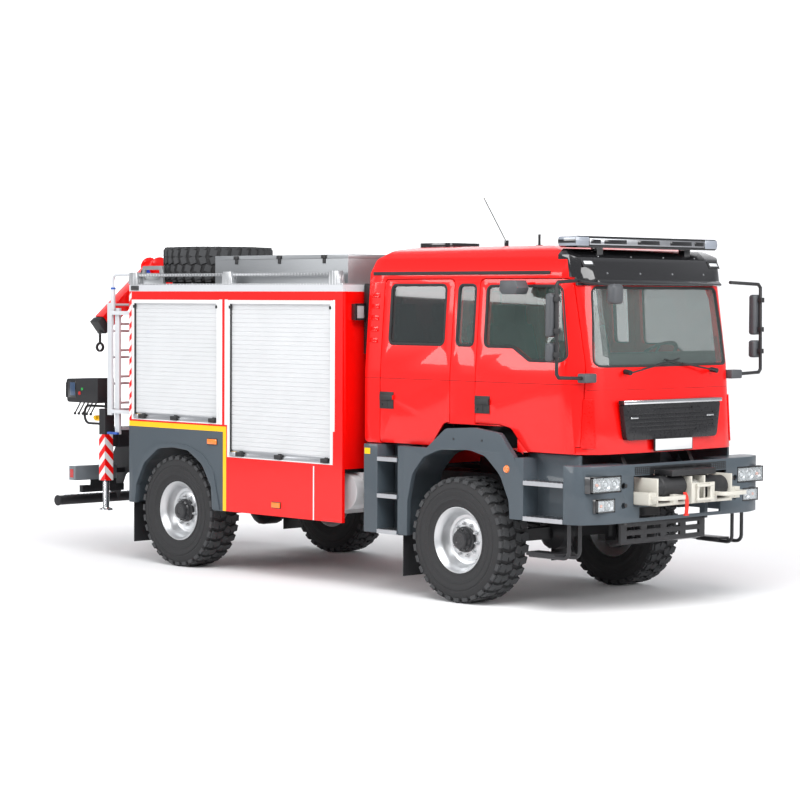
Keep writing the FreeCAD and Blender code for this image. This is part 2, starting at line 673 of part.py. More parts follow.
def grown(points, amount):
    """A straight-sided outline moved outwards (or inwards) from its middle box, corner by corner."""
    ys = [p[0] for p in points]
    zs = [p[1] for p in points]
    middle_y = (min(ys) + max(ys)) / 2
    middle_z = (min(zs) + max(zs)) / 2
    result = []
    for p in points:
        y = p[0] + (amount if p[0] > middle_y else -amount)
        z = p[1] + (amount if p[1] > middle_z else -amount)
        result.append((y, z) + tuple(p[2:]))
    return result


def side_cutter(points, sign, deep=880.0):
    return side_profile(points, sign * deep, sign * 1300)


def windscreen_cutter(depth):
    """The windscreen's outline seen from the front."""
    points = [(-900, 2140, 60), (900, 2140, 60), (845, 2825, 60), (-845, 2825, 60)]
    return front_profile(points, cab_front - 50, cab_front + depth)


def wheel_housing(sign, top, inboard):
    return box(sign * inboard, sign * 1300, -640, 480, cab_bottom - 10, top)


door_skin_thickness = 20.0    # the full outline; the thicker inner panel stands back from it
door_inner_inset = 18.0
front_door_lip = (-1190, -1085)  # rear edge of the front door's thin leading part, below and above


def floor_edge(sign, clearance):
    """The floor's end beside a door, where the floor stays and the door leaves room."""
    return box(sign * 800, sign * (cab_half_width - cab_wall - panel_gap + clearance), cab_front - 50, cab_rear,
               cab_bottom - 20, cab_bottom + cab_wall + clearance)


def door_leaf(outer, inner, door, sign):
    """Outer skin with the full outline and an inner panel set back all round."""
    behind_skin = cab_volume(door_skin_thickness)
    skin = outer.cut(behind_skin).common(side_cutter(door, sign))
    panel = behind_skin.cut(inner).common(side_cutter(grown(door, -door_inner_inset), sign)).cut(floor_edge(sign, 6))
    low, high = front_door_lip
    leading = side_profile([(cab_front, 1380), (low, 1380), (low, 2185), (high, 2930), (cab_front, 2930)],
                           sign * 800, sign * 1300)
    return skin.cut(floor_edge(sign, 6)).fuse(panel.cut(leading)).removeSplitter()


def cab_body(outer, inner, lined, seal):
    shell = outer.cut(inner)
    sealed = outer.cut(lined)
    for sign in (-1, 1):
        for door in (front_door_outline, rear_door_outline):
            square = [p[:2] for p in door]
            band = side_cutter(grown(square, 45), sign).cut(side_cutter(grown(square, -22), sign))
            band = band.cut(box(sign * 800, sign * 1300, cab_front - 50, front_door_lip[1] + 20, cab_bottom, cab_gutter))
            shell = shell.fuse(sealed.common(band))
    # floor raised over the wheels
    for sign in (-1, 1):
        shell = shell.fuse(wheel_housing(sign, arch_top + cab_wall - 20, 720).common(outer))
    for sign in (-1, 1):
        for door in (front_door_outline, rear_door_outline):
            shell = shell.cut(side_cutter(grown(door, panel_gap), sign).cut(seal).cut(floor_edge(sign, 0)))
        shell = shell.cut(side_cutter(quarter_window, sign))
        shell = shell.cut(wheel_housing(sign, arch_top - 10, 760))
    shell = shell.cut(windscreen_cutter(260))
    shell = shell.cut(front_profile([(-700, 2300, 50), (700, 2300, 50), (700, 2800, 50), (-700, 2800, 50)],
                                    cab_rear - 100, cab_rear + 50))
    return shell


def engine_cover(outer):
    """The raised tunnel over the engine between the front seats."""
    return box(-360, 360, -1330, 60, cab_bottom + 5, 1700).common(outer).cut(
        box(-345, 345, -1315, 45, cab_bottom - 10, 1685))


def kerb_mirror(sign):
    """The downward mirror on two stays over the passenger's door window."""
    head = side_profile([(-800, 2765), (-640, 2765), (-610, 2800), (-620, 2880), (-790, 2880), (-825, 2820)],
                        sign * 1190, sign * 1335)
    stays = [bar((sign * 1010, y, 2862), (sign * 1200, y, 2850), 11) for y in (-770, -660)]
    return [head] + stays


def cab():
    outer = cab_volume(0)
    inner = cab_volume(cab_wall)
    seal = cab_volume(cab_wall + running_gap)
    lined = cab_volume(cab_wall + seal_depth)
    shell = cab_body(outer, inner, lined, seal)
    shell = shell.cut(box(-345, 345, -1315, 45, cab_bottom - 10, cab_bottom + cab_wall + 10))
    shell = shell.fuse(engine_cover(outer))
    hinge_lugs = []
    for sign in (-1, 1):
        lug = side_profile([(tilt_axis_y - 36, tilt_axis_z - 30), (tilt_axis_y + 34, tilt_axis_z - 34),
                            (tilt_axis_y + 280, cab_bottom + 20), (tilt_axis_y + 160, cab_bottom + 20)],
                           sign * 436, sign * 484)
        lug = lug.cut(rod((sign * 420, tilt_axis_y, tilt_axis_z), (sign * 500, tilt_axis_y, tilt_axis_z),
                          tilt_pin_radius + running_gap))
        hinge_lugs.append(lug)
    shell = joined([shell] + hinge_lugs)
    wide = cab_half_width + 50
    rear = cab_rear + 50
    rim_bottom = cab_gutter - 78
    crown = box(-wide, wide, cab_front - 50, rear, cab_roof - cab_wall - 2, cab_roof + 50)
    roof_rims = [box(-wide, wide, cab_front - 50, -1000, rim_bottom, cab_roof),
                 box(-wide, wide, cab_rear - 150, rear, rim_bottom, cab_roof),
                 box(-wide, 0, cab_front - 50, rear, rim_bottom, cab_roof),
                 box(0, wide, cab_front - 50, rear, rim_bottom, cab_roof)]
    face = side_profile([(cab_front - 50, arch_top + 95), (-1292, arch_top + 95), (-1292, 2140), (-1171, rim_bottom),
                         (cab_front - 50, rim_bottom)], -wide, wide)
    back = box(-wide, wide, cab_rear - cab_wall, rear, arch_top + 95, cab_gutter)
    tub = box(-wide, wide, cab_front - 50, rear, tilt_axis_z - 100, arch_top + 95)
    save("cab_shell", *panelled(shell, crown, *roof_rims, face, back, tub))

    glass_out = cab_volume(10)
    glass_in = cab_volume(10 + glass_thickness)
    pane = glass_out.cut(glass_in)
    panes = [pane.common(windscreen_cutter(260))]
    panes.append(pane.common(front_profile([(-700, 2300, 50), (700, 2300, 50), (700, 2800, 50), (-700, 2800, 50)],
                                           cab_rear - 100, cab_rear + 50)))
    for sign in (-1, 1):
        panes.append(pane.common(side_cutter(quarter_window, sign)))
    save("cab_glass", *panes)

    for name, door, window, handle_y in (("front", front_door_outline, front_window, -290),
                                         ("rear", rear_door_outline, rear_window, 925)):
        for side, sign in (("right", -1), ("left", 1)):
            leaf = door_leaf(outer, inner, door, sign)
            leaf = leaf.cut(side_cutter(window, sign))
            leaf = leaf.cut(box(sign * (cab_half_width - 25), sign * 1300, handle_y, handle_y + 170, 1715, 1790))
            grip = box(sign * (cab_half_width - 26), sign * (cab_half_width + 22), handle_y - 12, handle_y + 150, 1790, 1830)
            pieces = [leaf, grip]
            if name == "front" and sign < 0:
                pieces += kerb_mirror(sign)
            save(name + "_door_" + side, joined(pieces))
            save(name + "_door_glass_" + side, pane.common(side_cutter(window, sign)))


def sun_visor():
    """Dark fairing over the windscreen, wrapped round onto the roof's front corners."""
    crest = cab_volume(-16)
    skin = crest.cut(cab_volume(-running_gap))
    band = box(-1010, 1010, cab_front - 60, -1000, 2840, 3230)
    panel = skin.common(band)
    for sign in (-1, 1):
        panel = panel.cut(box(sign * 975, sign * 1100, cab_front - 60, -900, 2800, 2912))
    peak = side_profile([(-1345, 2850, 10), (-1290, 2840), (-1268, 2850), (-1285, 2905, 20)], -830, 830)
    brow = peak.cut(cab_volume(-running_gap))
    save("sun_visor", joined([panel, brow]))


def cab_front_trim():
    """Grille with its bars, bright strip, corner vanes and the blank number plate's holder."""
    face = cab_front - 12
    grille = front_profile([(-668, 1812, 20), (-620, 1500, 40), (620, 1500, 40), (668, 1812, 20)], face, cab_front + 40)
    solid = grille.cut(cab_volume(-running_gap))
    for z, half in ((1566, 330), (1760, 270)):
        solid = solid.cut(box(-half, half, face - 5, face + 8, z, z + 20))
    for i in range(4):
        z = 1604 + i * 36
        solid = solid.cut(box(-560, 560, face - 5, face + 7, z, z + 16))
    strip = box(-672, 672, face - 6, cab_front + 40, 1812, 1846).cut(cab_volume(-running_gap))
    plate = box(-260, 260, face - 14, face + 1, 1398, 1504)
    pieces = [joined([solid, strip, plate])]
    vane_outer = cab_volume(-9).cut(cab_volume(-running_gap))
    for sign in (-1, 1):
        pieces.append(vane_outer.common(box(sign * 925, sign * 1200, -1500, -1293, 1440, 1860)))
    save("cab_front_trim", *pieces)


def roof_fittings():
    """Blue light bar with its feet, roof hatch, aerials and wipers' base."""
    top = cab_volume(-running_gap)
    light_bar = front_profile([(-975, 3170, 40), (975, 3170, 40), (975, 3268, 35), (-975, 3268, 35)], -1165, -965)
    visor_top = cab_volume(-16 - running_gap)
    feet = [box(sign * 560, sign * 640, -1120, -1050, 3050, 3175).cut(visor_top) for sign in (-1, 1)]
    hatch = plan_profile([(-620, 720, 60), (-620, 1120, 60), (-160, 1120, 60), (-160, 720, 60)], cab_roof - 20, cab_roof + 45)
    hatch = hatch.cut(top)
    whip = bar((-500, 90, cab_roof - 20), (-500, 90, cab_roof + 60), 22).cut(top)
    mast = bar((-500, 95, cab_roof + 50), (-500, 380, 3650), 5)
    stub = bar((-300, -130, cab_roof - 5), (-300, -130, 3310), 14)
    foot = bar((-300, -130, cab_roof - 15), (-300, -130, cab_roof + 20), 34).cut(top)
    save("roof_fittings", joined([light_bar] + feet), hatch, joined([whip, mast]), joined([stub.cut(top), foot]))


dashboard_half = 870.0        # its ends stay clear of the doors' leading edges


def dashboard():
    """Dashboard with the steering column and wheel on the truck's left."""
    outline_points = [(-1330, 1480), (-950, 1480, 60), (-920, 2020, 60), (-990, 2230, 60), (-1240, 2262, 40), (-1330, 2120)]
    desk = side_profile(outline_points, -dashboard_half, dashboard_half).common(cab_volume(cab_wall + running_gap))
    desk = desk.cut(box(-362, 362, -1335, 65, cab_bottom, 1702))
    centre = V(550, -790, 2195)
    tilt = math.radians(38)
    axis = V(0, math.sin(tilt), math.cos(tilt))
    wheel = turned([(-15, 225), (-8, 210), (8, 210), (15, 225), (8, 240), (-8, 240)], tuple(centre), tuple(axis), 20)
    column = bar((550, -1010, 1915), (550, -790, 2195), 38)
    spokes = []
    for turn in (0, 2 * math.pi / 3, 4 * math.pi / 3):
        across = V(1, 0, 0).multiply(math.cos(turn)).add(V(0, math.cos(tilt), -math.sin(tilt)).multiply(math.sin(turn)))
        end = centre.add(across.multiply(222))
        spokes.append(bar(centre, end, 13, 6))
    hub = bar(centre.sub(V(axis).multiply(22)), centre.add(V(axis).multiply(22)), 55, 10)
    save("dashboard", joined([desk, column, wheel, hub] + spokes))


def seat(x, y, width, base_height):
    """One seat: base, cushion, leaned back and head rest."""
    half = width / 2
    base = box(x - half + 100, x + half - 100, y - 200, y + 200, cab_bottom + cab_wall, base_height)
    cushion = side_profile([(y - 260, base_height), (y + 220, base_height), (y + 220, base_height + 130),
                            (y - 230, base_height + 150), (y - 260, base_height + 120)], x - half, x + half)
    back = side_profile([(y + 170, base_height + 60), (y + 300, base_height + 60), (y + 400, base_height + 690),
                         (y + 320, base_height + 700)], x - half + 10, x + half - 10)
    head = side_profile([(y + 322, base_height + 690), (y + 395, base_height + 680), (y + 420, base_height + 900),
                         (y + 345, base_height + 900)], x - 130, x + 130)
    return joined([base, cushion, back, head])


def seats():
    pieces = [seat(-575, -330, 470, 1790), seat(575, -330, 470, 1790)]
    for x in (-765, -255, 255, 765):
        pieces.append(seat(x, 760, 440, 1790))
    save("seats", *pieces)


def mirrors():
    """Exterior mirrors on bent tubes, with the front mirror above the passenger's side."""
    pieces = []
    for sign in (-1, 1):
        arm = pipe([(sign * 1060, -1352, 2045), (sign * 1400, -1320, 2060), (sign * 1400, -1300, 2860),
                    (sign * 870, -1230, 2885)], 15, 70)
        root = box(sign * 925, sign * 1085, -1385, -1293, 2005, 2085)
        big = box(sign * 1335, sign * 1455, -1330, -1245, 2400, 2770)
        small = box(sign * 1335, sign * 1455, -1330, -1245, 2190, 2350)
        whole = joined([arm, root, big, small])
        if sign < 0:
            front_arm = bar((sign * 1100, -1258, 2876), (sign * 1040, -1640, 2840), 12)
            front_head = box(sign * 965, sign * 1100, -1720, -1620, 2680, 2850)
            whole = joined([whole, front_arm, front_head])
        visor_room = cab_volume(-16 - running_gap).common(box(-1010, 1010, -1600, -1000, 2840, 3230))
        pieces.append(whole.cut(cab_volume(-running_gap)).cut(visor_room))
    save("mirrors", *pieces)


# ---------------------------------------------------------------- locker body
def body_shell():
    outer = box(-body_half_width, body_half_width, body_front, body_rear, rail_top + body_bearer_height, body_top)
    outer = outer.cut(box(-body_half_width + body_wall, body_half_width - body_wall, arch_panel_front, body_rear + 10,
                          rail_top - 10, body_floor_rear - body_wall))
    outer = outer.cut(box(-body_half_width - 10, body_half_width + 10, arch_panel_front, body_rear + 10,
                          rail_top - 10, arch_panel_top))
    inner_x = body_half_width - body_wall
    ceiling = body_top - body_wall
    for sign in (-1, 1):
        outer = outer.cut(box(sign * body_wall / 2, sign * inner_x, body_front + body_wall, arch_panel_front - body_wall,
                              body_floor_front, ceiling))
        outer = outer.cut(box(sign * body_wall / 2, sign * inner_x, arch_panel_front, body_rear - body_wall,
                              body_floor_rear, ceiling))
        for (y0, y1), floor in ((locker_front, body_floor_front), (locker_rear, body_floor_rear)):
            outer = outer.cut(box(sign * (inner_x - 5), sign * (body_half_width + 5), y0, y1, floor, locker_head))
    skirts = []
    for sign in (-1, 1):
        skirts.append(box(sign * inner_x, sign * body_half_width, skirt_front_seam, arch_panel_front,
                          body_bottom, rail_top + body_bearer_height))
        skirts.append(box(sign * inner_x, sign * body_half_width, body_front, skirt_front_seam - panel_gap,
                          body_bottom, rail_top + body_bearer_height))
        skirts.append(box(sign * (inner_x - 80), sign * inner_x, skirt_front_seam, arch_panel_front,
                          body_bottom, body_bottom + 25))
        skirts.append(box(sign * 560, sign * body_half_width, arch_panel_front - 30, arch_panel_front,
                          body_bottom, rail_top + body_bearer_height))
    for sign in (-1, 1):
        skirts.append(box(sign * (body_wall / 2 + 13), sign * (inner_x - 15), body_front + body_wall + 10,
                          arch_panel_front - body_wall - 10, body_floor_front - 1, body_floor_front + locker_mat))
        skirts.append(box(sign * (body_wall / 2 + 13), sign * (inner_x - 15), arch_panel_front + 10,
                          body_rear - body_wall - 10, body_floor_rear - 1, body_floor_rear + locker_mat))
    wide = body_half_width + 50
    ends = (body_front - 50, body_rear + 50)
    heights = (body_bottom - 50, body_top + 50)
    roof = box(-wide, wide, ends[0], ends[1], ceiling, heights[1])
    sides = []
    for sign in (-1, 1):
        reaches = [(ends[0], locker_front[0], 0), (locker_rear[1], ends[1], 0), (ends[0], ends[1], locker_head),
                   (locker_front[1], locker_rear[0], body_floor_front), (ends[0], ends[1], heights[0])]
        for y0, y1, z0 in reaches:
            sides.append(box(sign * inner_x, sign * wide, y0, y1, z0, heights[1]))
    front_wall = box(-wide, wide, ends[0], body_front + body_wall, heights[0], heights[1])
    rear_wall = box(-wide, wide, body_rear - body_wall, ends[1], heights[0], heights[1])
    cross_wall = box(-wide, wide, arch_panel_front - body_wall, arch_panel_front, rail_top, heights[1])
    middle_wall = box(-body_wall / 2, body_wall / 2, ends[0], ends[1], heights[0], heights[1])
    save("body_shell", *panelled(joined([outer] + skirts), roof, *sides, front_wall, rear_wall, cross_wall, middle_wall))


locker_mat = 2.0              # ribbed mat on each locker's floor
shutter_side_run = 24.0       # how far the curtain's edge runs inside the frame
shutter_frame_width = 36.0


def shutter_frame(sign, opening, floor):
    """Aluminium profile round one locker opening, grooved for the curtain, with the roll's cover."""
    y0, y1 = opening
    inside = body_half_width - body_wall
    outside = body_half_width + 6
    whole = box(sign * inside, sign * outside, y0, y1, floor, locker_head)
    hole = box(sign * (inside - 5), sign * (outside + 5), y0 + shutter_frame_width, y1 - shutter_frame_width,
               floor + 10, locker_head - shutter_frame_width)
    near = body_half_width - shutter_inset - shutter_thickness - running_gap
    far = body_half_width - shutter_inset + running_gap
    groove = box(sign * near, sign * far, y0 + shutter_frame_width - shutter_side_run - running_gap,
                 y1 - shutter_frame_width + shutter_side_run + running_gap, floor + 10, locker_head - 8)
    roll = box(sign * (inside - 190), sign * inside, y0, y1, locker_head - 150, body_top - body_wall)
    frame = whole.cut(hole).cut(groove)
    uprights = [box(sign * (inside - 5), sign * (outside + 5), y, y + shutter_frame_width, floor - 5, locker_head + 5)
                for y in (y0, y1 - shutter_frame_width)]
    head = box(sign * (inside - 5), sign * (outside + 5), y0, y1, locker_head - shutter_frame_width, locker_head + 5)
    return panelled(frame, *uprights, head) + [roll]


def shutters():
    frames = []
    inside = body_half_width - shutter_inset - shutter_thickness
    outside = body_half_width - shutter_inset
    for side, sign in (("right", -1), ("left", 1)):
        for end, opening, floor in (("front", locker_front, body_floor_front), ("rear", locker_rear, body_floor_rear)):
            frames.extend(shutter_frame(sign, opening, floor))
            y0 = opening[0] + shutter_frame_width - shutter_side_run
            y1 = opening[1] - shutter_frame_width + shutter_side_run
            low = floor + 10 + running_gap
            middle = low + shutter_bar_height
            bottom_bar = box(sign * inside, sign * outside, y0, y1, low, middle)
            lip = box(sign * outside, sign * (outside + 14), opening[0] + shutter_frame_width + 6,
                      opening[1] - shutter_frame_width - 6, low, low + 26)
            length = y1 - y0
            latches = []
            for share in (0.06, 0.5, 0.94):
                y = y0 + length * share
                latches.append(box(sign * outside, sign * (outside + 44), y - 45, y + 45, low + 6, low + 44))
            save("shutter_bar_" + end + "_" + side, joined([bottom_bar, lip] + latches))
            curtain = box(sign * inside, sign * outside, y0, y1, middle, locker_head - 8 - running_gap)
            save("shutter_curtain_" + end + "_" + side, curtain)
    save("shutter_frames", *frames)


arch_inner = [(640, 610), (620, 800, 60), (490, 1030, 150), (260, 1190, 160), (20, 1210, 400), (-220, 1190, 160),
              (-440, 1060, 150), (-578, 850, 60), (-600, 610)]
arch_outer = [(-710, 640), (-610, 1005, 90), (-460, 1155, 120), (-220, 1240, 160), (20, 1258, 400), (290, 1240, 160),
              (500, 1140, 120), (690, 930, 90), (740, 640)]
arch_liner = [(675, 625), (655, 820, 60), (520, 1065, 150), (275, 1228, 160), (20, 1248, 400), (-235, 1228, 160),
              (-472, 1092, 150), (-615, 865, 60), (-635, 625), (-623, 625), (-603, 862, 60), (-464, 1083, 150),
              (-232, 1216, 160), (20, 1236, 400), (272, 1216, 160), (512, 1056, 150), (643, 817, 60), (663, 625)]


def at_rear_axle(points):
    """An outline given from the rear axle, moved to its place on the truck."""
    return [(p[0] + wheelbase,) + tuple(p[1:]) for p in points]


def arch_panels():
    """Dark side panels over the rear wheels with raised arch lips, liners and mud flaps."""
    pieces = []
    for sign in (-1, 1):
        inside = body_half_width - arch_panel_thickness
        panel = box(sign * inside, sign * body_half_width, arch_panel_front + 3, body_rear, 612, arch_panel_top)
        cut_away = side_profile(at_rear_axle([(640, 560)] + arch_inner[1:-1] + [(-600, 560)]),
                                sign * (inside - 20), sign * (body_half_width + 30))
        lip = side_profile(at_rear_axle([(-710, 625)] + arch_outer[1:-1] + [(740, 625), (638, 625)] + arch_inner[1:-1]
                                        + [(-598, 625)]), sign * body_half_width, sign * (body_half_width + 12))
        liner = side_profile(at_rear_axle(arch_liner), sign * 700, sign * (inside + 5))
        back = box(sign * 700, sign * inside, body_rear - 25, body_rear, 612, body_floor_rear - body_wall)
        front_wall = box(sign * (inside - 60), sign * inside, arch_panel_front + 3, arch_panel_front + 20, 612, arch_panel_top)
        flap = box(sign * 850, sign * 1215, body_rear - 45, body_rear - 35, 200, 640)
        clamp = box(sign * 850, sign * 1215, body_rear - 40, body_rear - 20, 612, 650)
        pieces.append(joined([panel.cut(cut_away), lip, liner, back, front_wall, flap, clamp]))
    save("arch_panels", *pieces)


def roof_deck():
    """Chequer plate on the body's roof with the gallery rails, their housings and the equipment boxes."""
    top = body_top + deck_thickness
    deck = box(-body_half_width + 5, body_half_width - 5, body_front + 5, body_rear - 5, body_top, top)
    pieces = [deck]
    stations = (body_front + 130, arch_panel_front - 50, body_rear - 60)
    for sign in (-1, 1):
        for y in stations:
            pieces.append(side_profile([(y - 82, top - 2), (y - 60, top + gallery_height - 8),
                                        (y + 60, top + gallery_height - 8), (y + 82, top - 2)],
                                       sign * (body_half_width - 70), sign * (body_half_width - 5)))
        z = top + gallery_height - 38
        for a, b in zip(stations[:-1], stations[1:]):
            pieces.append(bar((sign * (body_half_width - 35), a + 50, z), (sign * (body_half_width - 35), b - 50, z), rail_tube_radius))
        hoop = side_profile([(body_rear - 485, top - 2), (body_rear - 460, 3045), (body_rear - 145, 3045), (body_rear - 115, top - 2)],
                            sign * (body_half_width - 62), sign * (body_half_width - 84))
        slot = side_profile([(body_rear - 425, 2905), (body_rear - 415, 3005), (body_rear - 185, 3005), (body_rear - 175, 2905)],
                            sign * (body_half_width - 50), sign * (body_half_width - 100))
        pieces.append(hoop.cut(slot))
        y0, y1 = roof_box_length
        x0 = sign * roof_box_inner_x
        x1 = sign * roof_box_outer_x
        shell = box(x0, x1, y0, y1, top - 2, top + roof_box_height - roof_lid_height)
        hollow = box(x0 + sign * roof_box_wall, x1 - sign * roof_box_wall, y0 + roof_box_wall, y1 - roof_box_wall,
                     top + roof_box_wall, top + roof_box_height)
        pieces.append(shell.cut(hollow))
        lid_low = top + roof_box_height - roof_lid_height + running_gap
        lid = box(x0, x1, y0, y1, lid_low, top + roof_box_height)
        pan = box(x0 + sign * roof_box_wall, x1 - sign * roof_box_wall, y0 + roof_box_wall, y1 - roof_box_wall,
                  lid_low - 5, top + roof_box_height - 4)
        latches = []
        for i in range(3):
            y = y0 + (y1 - y0) * (0.17 + 0.33 * i)
            latches.append(box(x1, x1 + sign * 16, y - 30, y + 30, lid_low + 2, top + roof_box_height - 6))
        save("roof_box_lid_" + ("right" if sign < 0 else "left"), joined([lid.cut(pan)] + latches))
    # cradle of the spare wheel
    for sign in (-1, 1):
        pieces.append(box(spare_x - 470, spare_x + 470, spare_y + sign * 150 - 20, spare_y + sign * 150 + 20, top - 2, top + 14))
    pieces.append(rod((spare_x, spare_y, top - 2), (spare_x, spare_y, top + 14), 90))
    save("roof_deck", joined(pieces))


def spare_wheel():
    level = body_top + deck_thickness + 14 + running_gap + tyre_width / 2
    centre = (spare_x, spare_y, level)
    axis = (0, 0, 1)
    save("spare_wheel", tyre(centre, axis), rim(centre, axis, 20.0))


def ladder():
    """Nested two-part ladder behind the body's right corner, with the grab rail to the roof."""
    pieces = []
    for y, z0, z1, inset in ((crane_y - 205, 1490, 2665, 0), (crane_y - 290, 1290, 2610, 34)):
        for x in (-1150 + inset, -780 - inset):
            pieces.append(box(x - 14, x + 14, y - 36, y + 36, z0, z1))
        for i in range(5):
            z = z0 + 55 + i * 275
            if z < z1:
                pieces.append(bar((-1150 + inset, y, z), (-780 - inset, y, z), 14))
    for z in (1530, 2560):
        for x in (-1150, -780):
            pieces.append(box(x - 12, x + 12, body_rear, crane_y - 200, z - 20, z + 20))
    for x in (-1150, -780):
        pieces.append(pipe([(x, crane_y - 250, 2560), (x, crane_y - 250, 2958), (x, body_rear + 2, 2958), ], rail_tube_radius, 60))
        pieces.append(bar((x, crane_y - 250, 2600), (x, crane_y - 250, 2820), 25))
    pieces.append(box(-1166, -764, body_rear, body_rear + 14, 2880, 2975))
    for z in (2900,):
        pieces.append(box(-1166, -764, body_rear, body_rear + 14, body_top - 120, z))
    save("ladder", joined(pieces))


def underrun():
    """Rear underrun tube, its side plates and the beams that carry the lamp boxes."""
    pieces = []
    half = underrun_half_length
    pieces.append(rod((-half, underrun_y, underrun_z), (half, underrun_y, underrun_z), underrun_radius))
    for sign in (-1, 1):
        pieces.append(rod((sign * half, underrun_y, underrun_z), (sign * (half + 14), underrun_y, underrun_z), underrun_radius + 4))
        plate = side_profile([(underrun_y - 360, 870), (underrun_y - 360, 1105), (underrun_y - 210, 1280, 15), (underrun_y - 65, 1160, 30), (rear_reach, 815),
                              (underrun_y + 50, 540), (underrun_y - 60, 520), (underrun_y - 200, 800, 40)],
                             sign * rail_outer_x, sign * (rail_outer_x + 14))
        pieces.append(plate)
        pieces.append(box(sign * (rail_outer_x + 10), sign * 1000, underrun_y - 170, underrun_y - 110, 625, 700))
        pieces.append(box(sign * (rail_outer_x + 10), sign * 650, underrun_y - 185, underrun_y - 140, 820, 870))
        pieces.append(box(sign * 560, sign * 900, underrun_y - 185, underrun_y - 170, 690, 850))
        pieces.append(box(sign * 560, sign * 900, underrun_y - 180, underrun_y - 140, 640, 700))
    save("underrun", joined(pieces))


# ---------------------------------------------------------------- crane and stabilisers
def crane_base():
    """Cross tube for the stabiliser beams, the slewing bearing's lower ring and the control stand."""
    half = crane_base_half_length
    low = crane_base_top - crane_base_height
    block = box(-half, half, crane_y - 145, crane_y + 145, low, crane_base_top)
    for sign in (-1, 1):
        y = crane_y + sign * 70
        space = box(sign * -120, sign * (half + 10), y - beam_depth / 2 + 8, y + beam_depth / 2 - 8, low + 14, crane_base_top - 14)
        block = block.cut(space)
    pads = [box(sign * 345, sign * 440, crane_y - 145, crane_y + 145, rail_top, low) for sign in (-1, 1)]
    bearing = ring((0, crane_y, crane_base_top + 30), (0, 0, 1), 215, 90, 60)
    post = box(-960, -880, crane_y + 80, crane_y + 145, crane_base_top, 1610)
    desk = side_profile([(crane_y + 70, 1600, 20), (crane_y + 610, 1600, 30), (crane_y + 625, 1850, 30), (crane_y + 70, 1870, 20)], -1110, -890)
    screen = box(-1116, -960, crane_y + 618, crane_y + 628, 1650, 1810)
    levers = []
    for i in range(5):
        y = crane_y + 230 + i * 70
        levers.append(bar((-1000, y, 1605), (-1080, y, 1480), 8))
    hose = pipe([(-920, crane_y + 130, 1560), (-920, crane_y + 550, 1560), (-920, crane_y + 550, 1370), (-920, crane_y + 130, 1370)], 14, 80)
    save("crane_base", joined([block] + pads + [bearing, post, desk, screen, hose] + levers))


def stabilisers():
    """Sliding beams with square legs and round feet."""
    low = crane_base_top - crane_base_height
    for side, sign in (("right", -1), ("left", 1)):
        y = crane_y + sign * 70
        gap = running_gap
        depth = beam_depth / 2 - 8 - gap
        beam = box(sign * 160, sign * (leg_x - leg_size / 2 + 5), y - depth, y + depth, low + 14 + gap, crane_base_top - 14 - gap)
        sleeve = box(sign * (leg_x - leg_size / 2), sign * (leg_x + leg_size / 2), y - leg_size / 2, y + leg_size / 2, 790, 1550)
        bore = rod((sign * leg_x, y, 780), (sign * leg_x, y, 1530), 34 + gap)
        save("stabiliser_beam_" + side, joined([beam, sleeve]).cut(bore))
        stem = rod((sign * leg_x, y, foot_bottom + 15), (sign * leg_x, y, 1500), 34)
        foot = turned([(0, 0.01), (0, 78), (12, 78), (26, 38), (26, 0.01)], (sign * leg_x, y, foot_bottom), (0, 0, 1), 14)
        save("stabiliser_leg_" + side, joined([stem, foot]))


def beam_between(a, b, depth, start, end, half_width):
    """A box beam along the line a to b in the crane's plane, from start to end past a."""
    ax, az = a
    length = math.hypot(b[0] - ax, b[1] - az)
    ux = (b[0] - ax) / length
    uz = (b[1] - az) / length
    nx = -uz
    nz = ux
    corners = []
    for along, across in ((start, -depth / 2), (start, depth / 2), (end, depth / 2), (end, -depth / 2)):
        corners.append((ax + ux * along + nx * across, az + uz * along + nz * across))
    return front_profile(corners, crane_y - half_width, crane_y + half_width)


cheek_gap = 6.0
cheek_thickness = 26.0
pin_radius = 32.0
lift_foot = (-130.0, 1790.0)
lift_eye_offset = 182.0       # eye of the lift cylinder below the boom's centre line
lift_eye_share = 0.6
lift_barrel_radius = 46.0
lift_rod_radius = 24.0
jib_depth = 165.0
jib_half_width = 72.0
jib_wall = 12.0


def lift_eye():
    ax, az = boom_foot
    bx, bz = knuckle
    length = math.hypot(bx - ax, bz - az)
    ux = (bx - ax) / length
    uz = (bz - az) / length
    return (ax + (bx - ax) * lift_eye_share - uz * lift_eye_offset, az + (bz - az) * lift_eye_share + ux * lift_eye_offset)


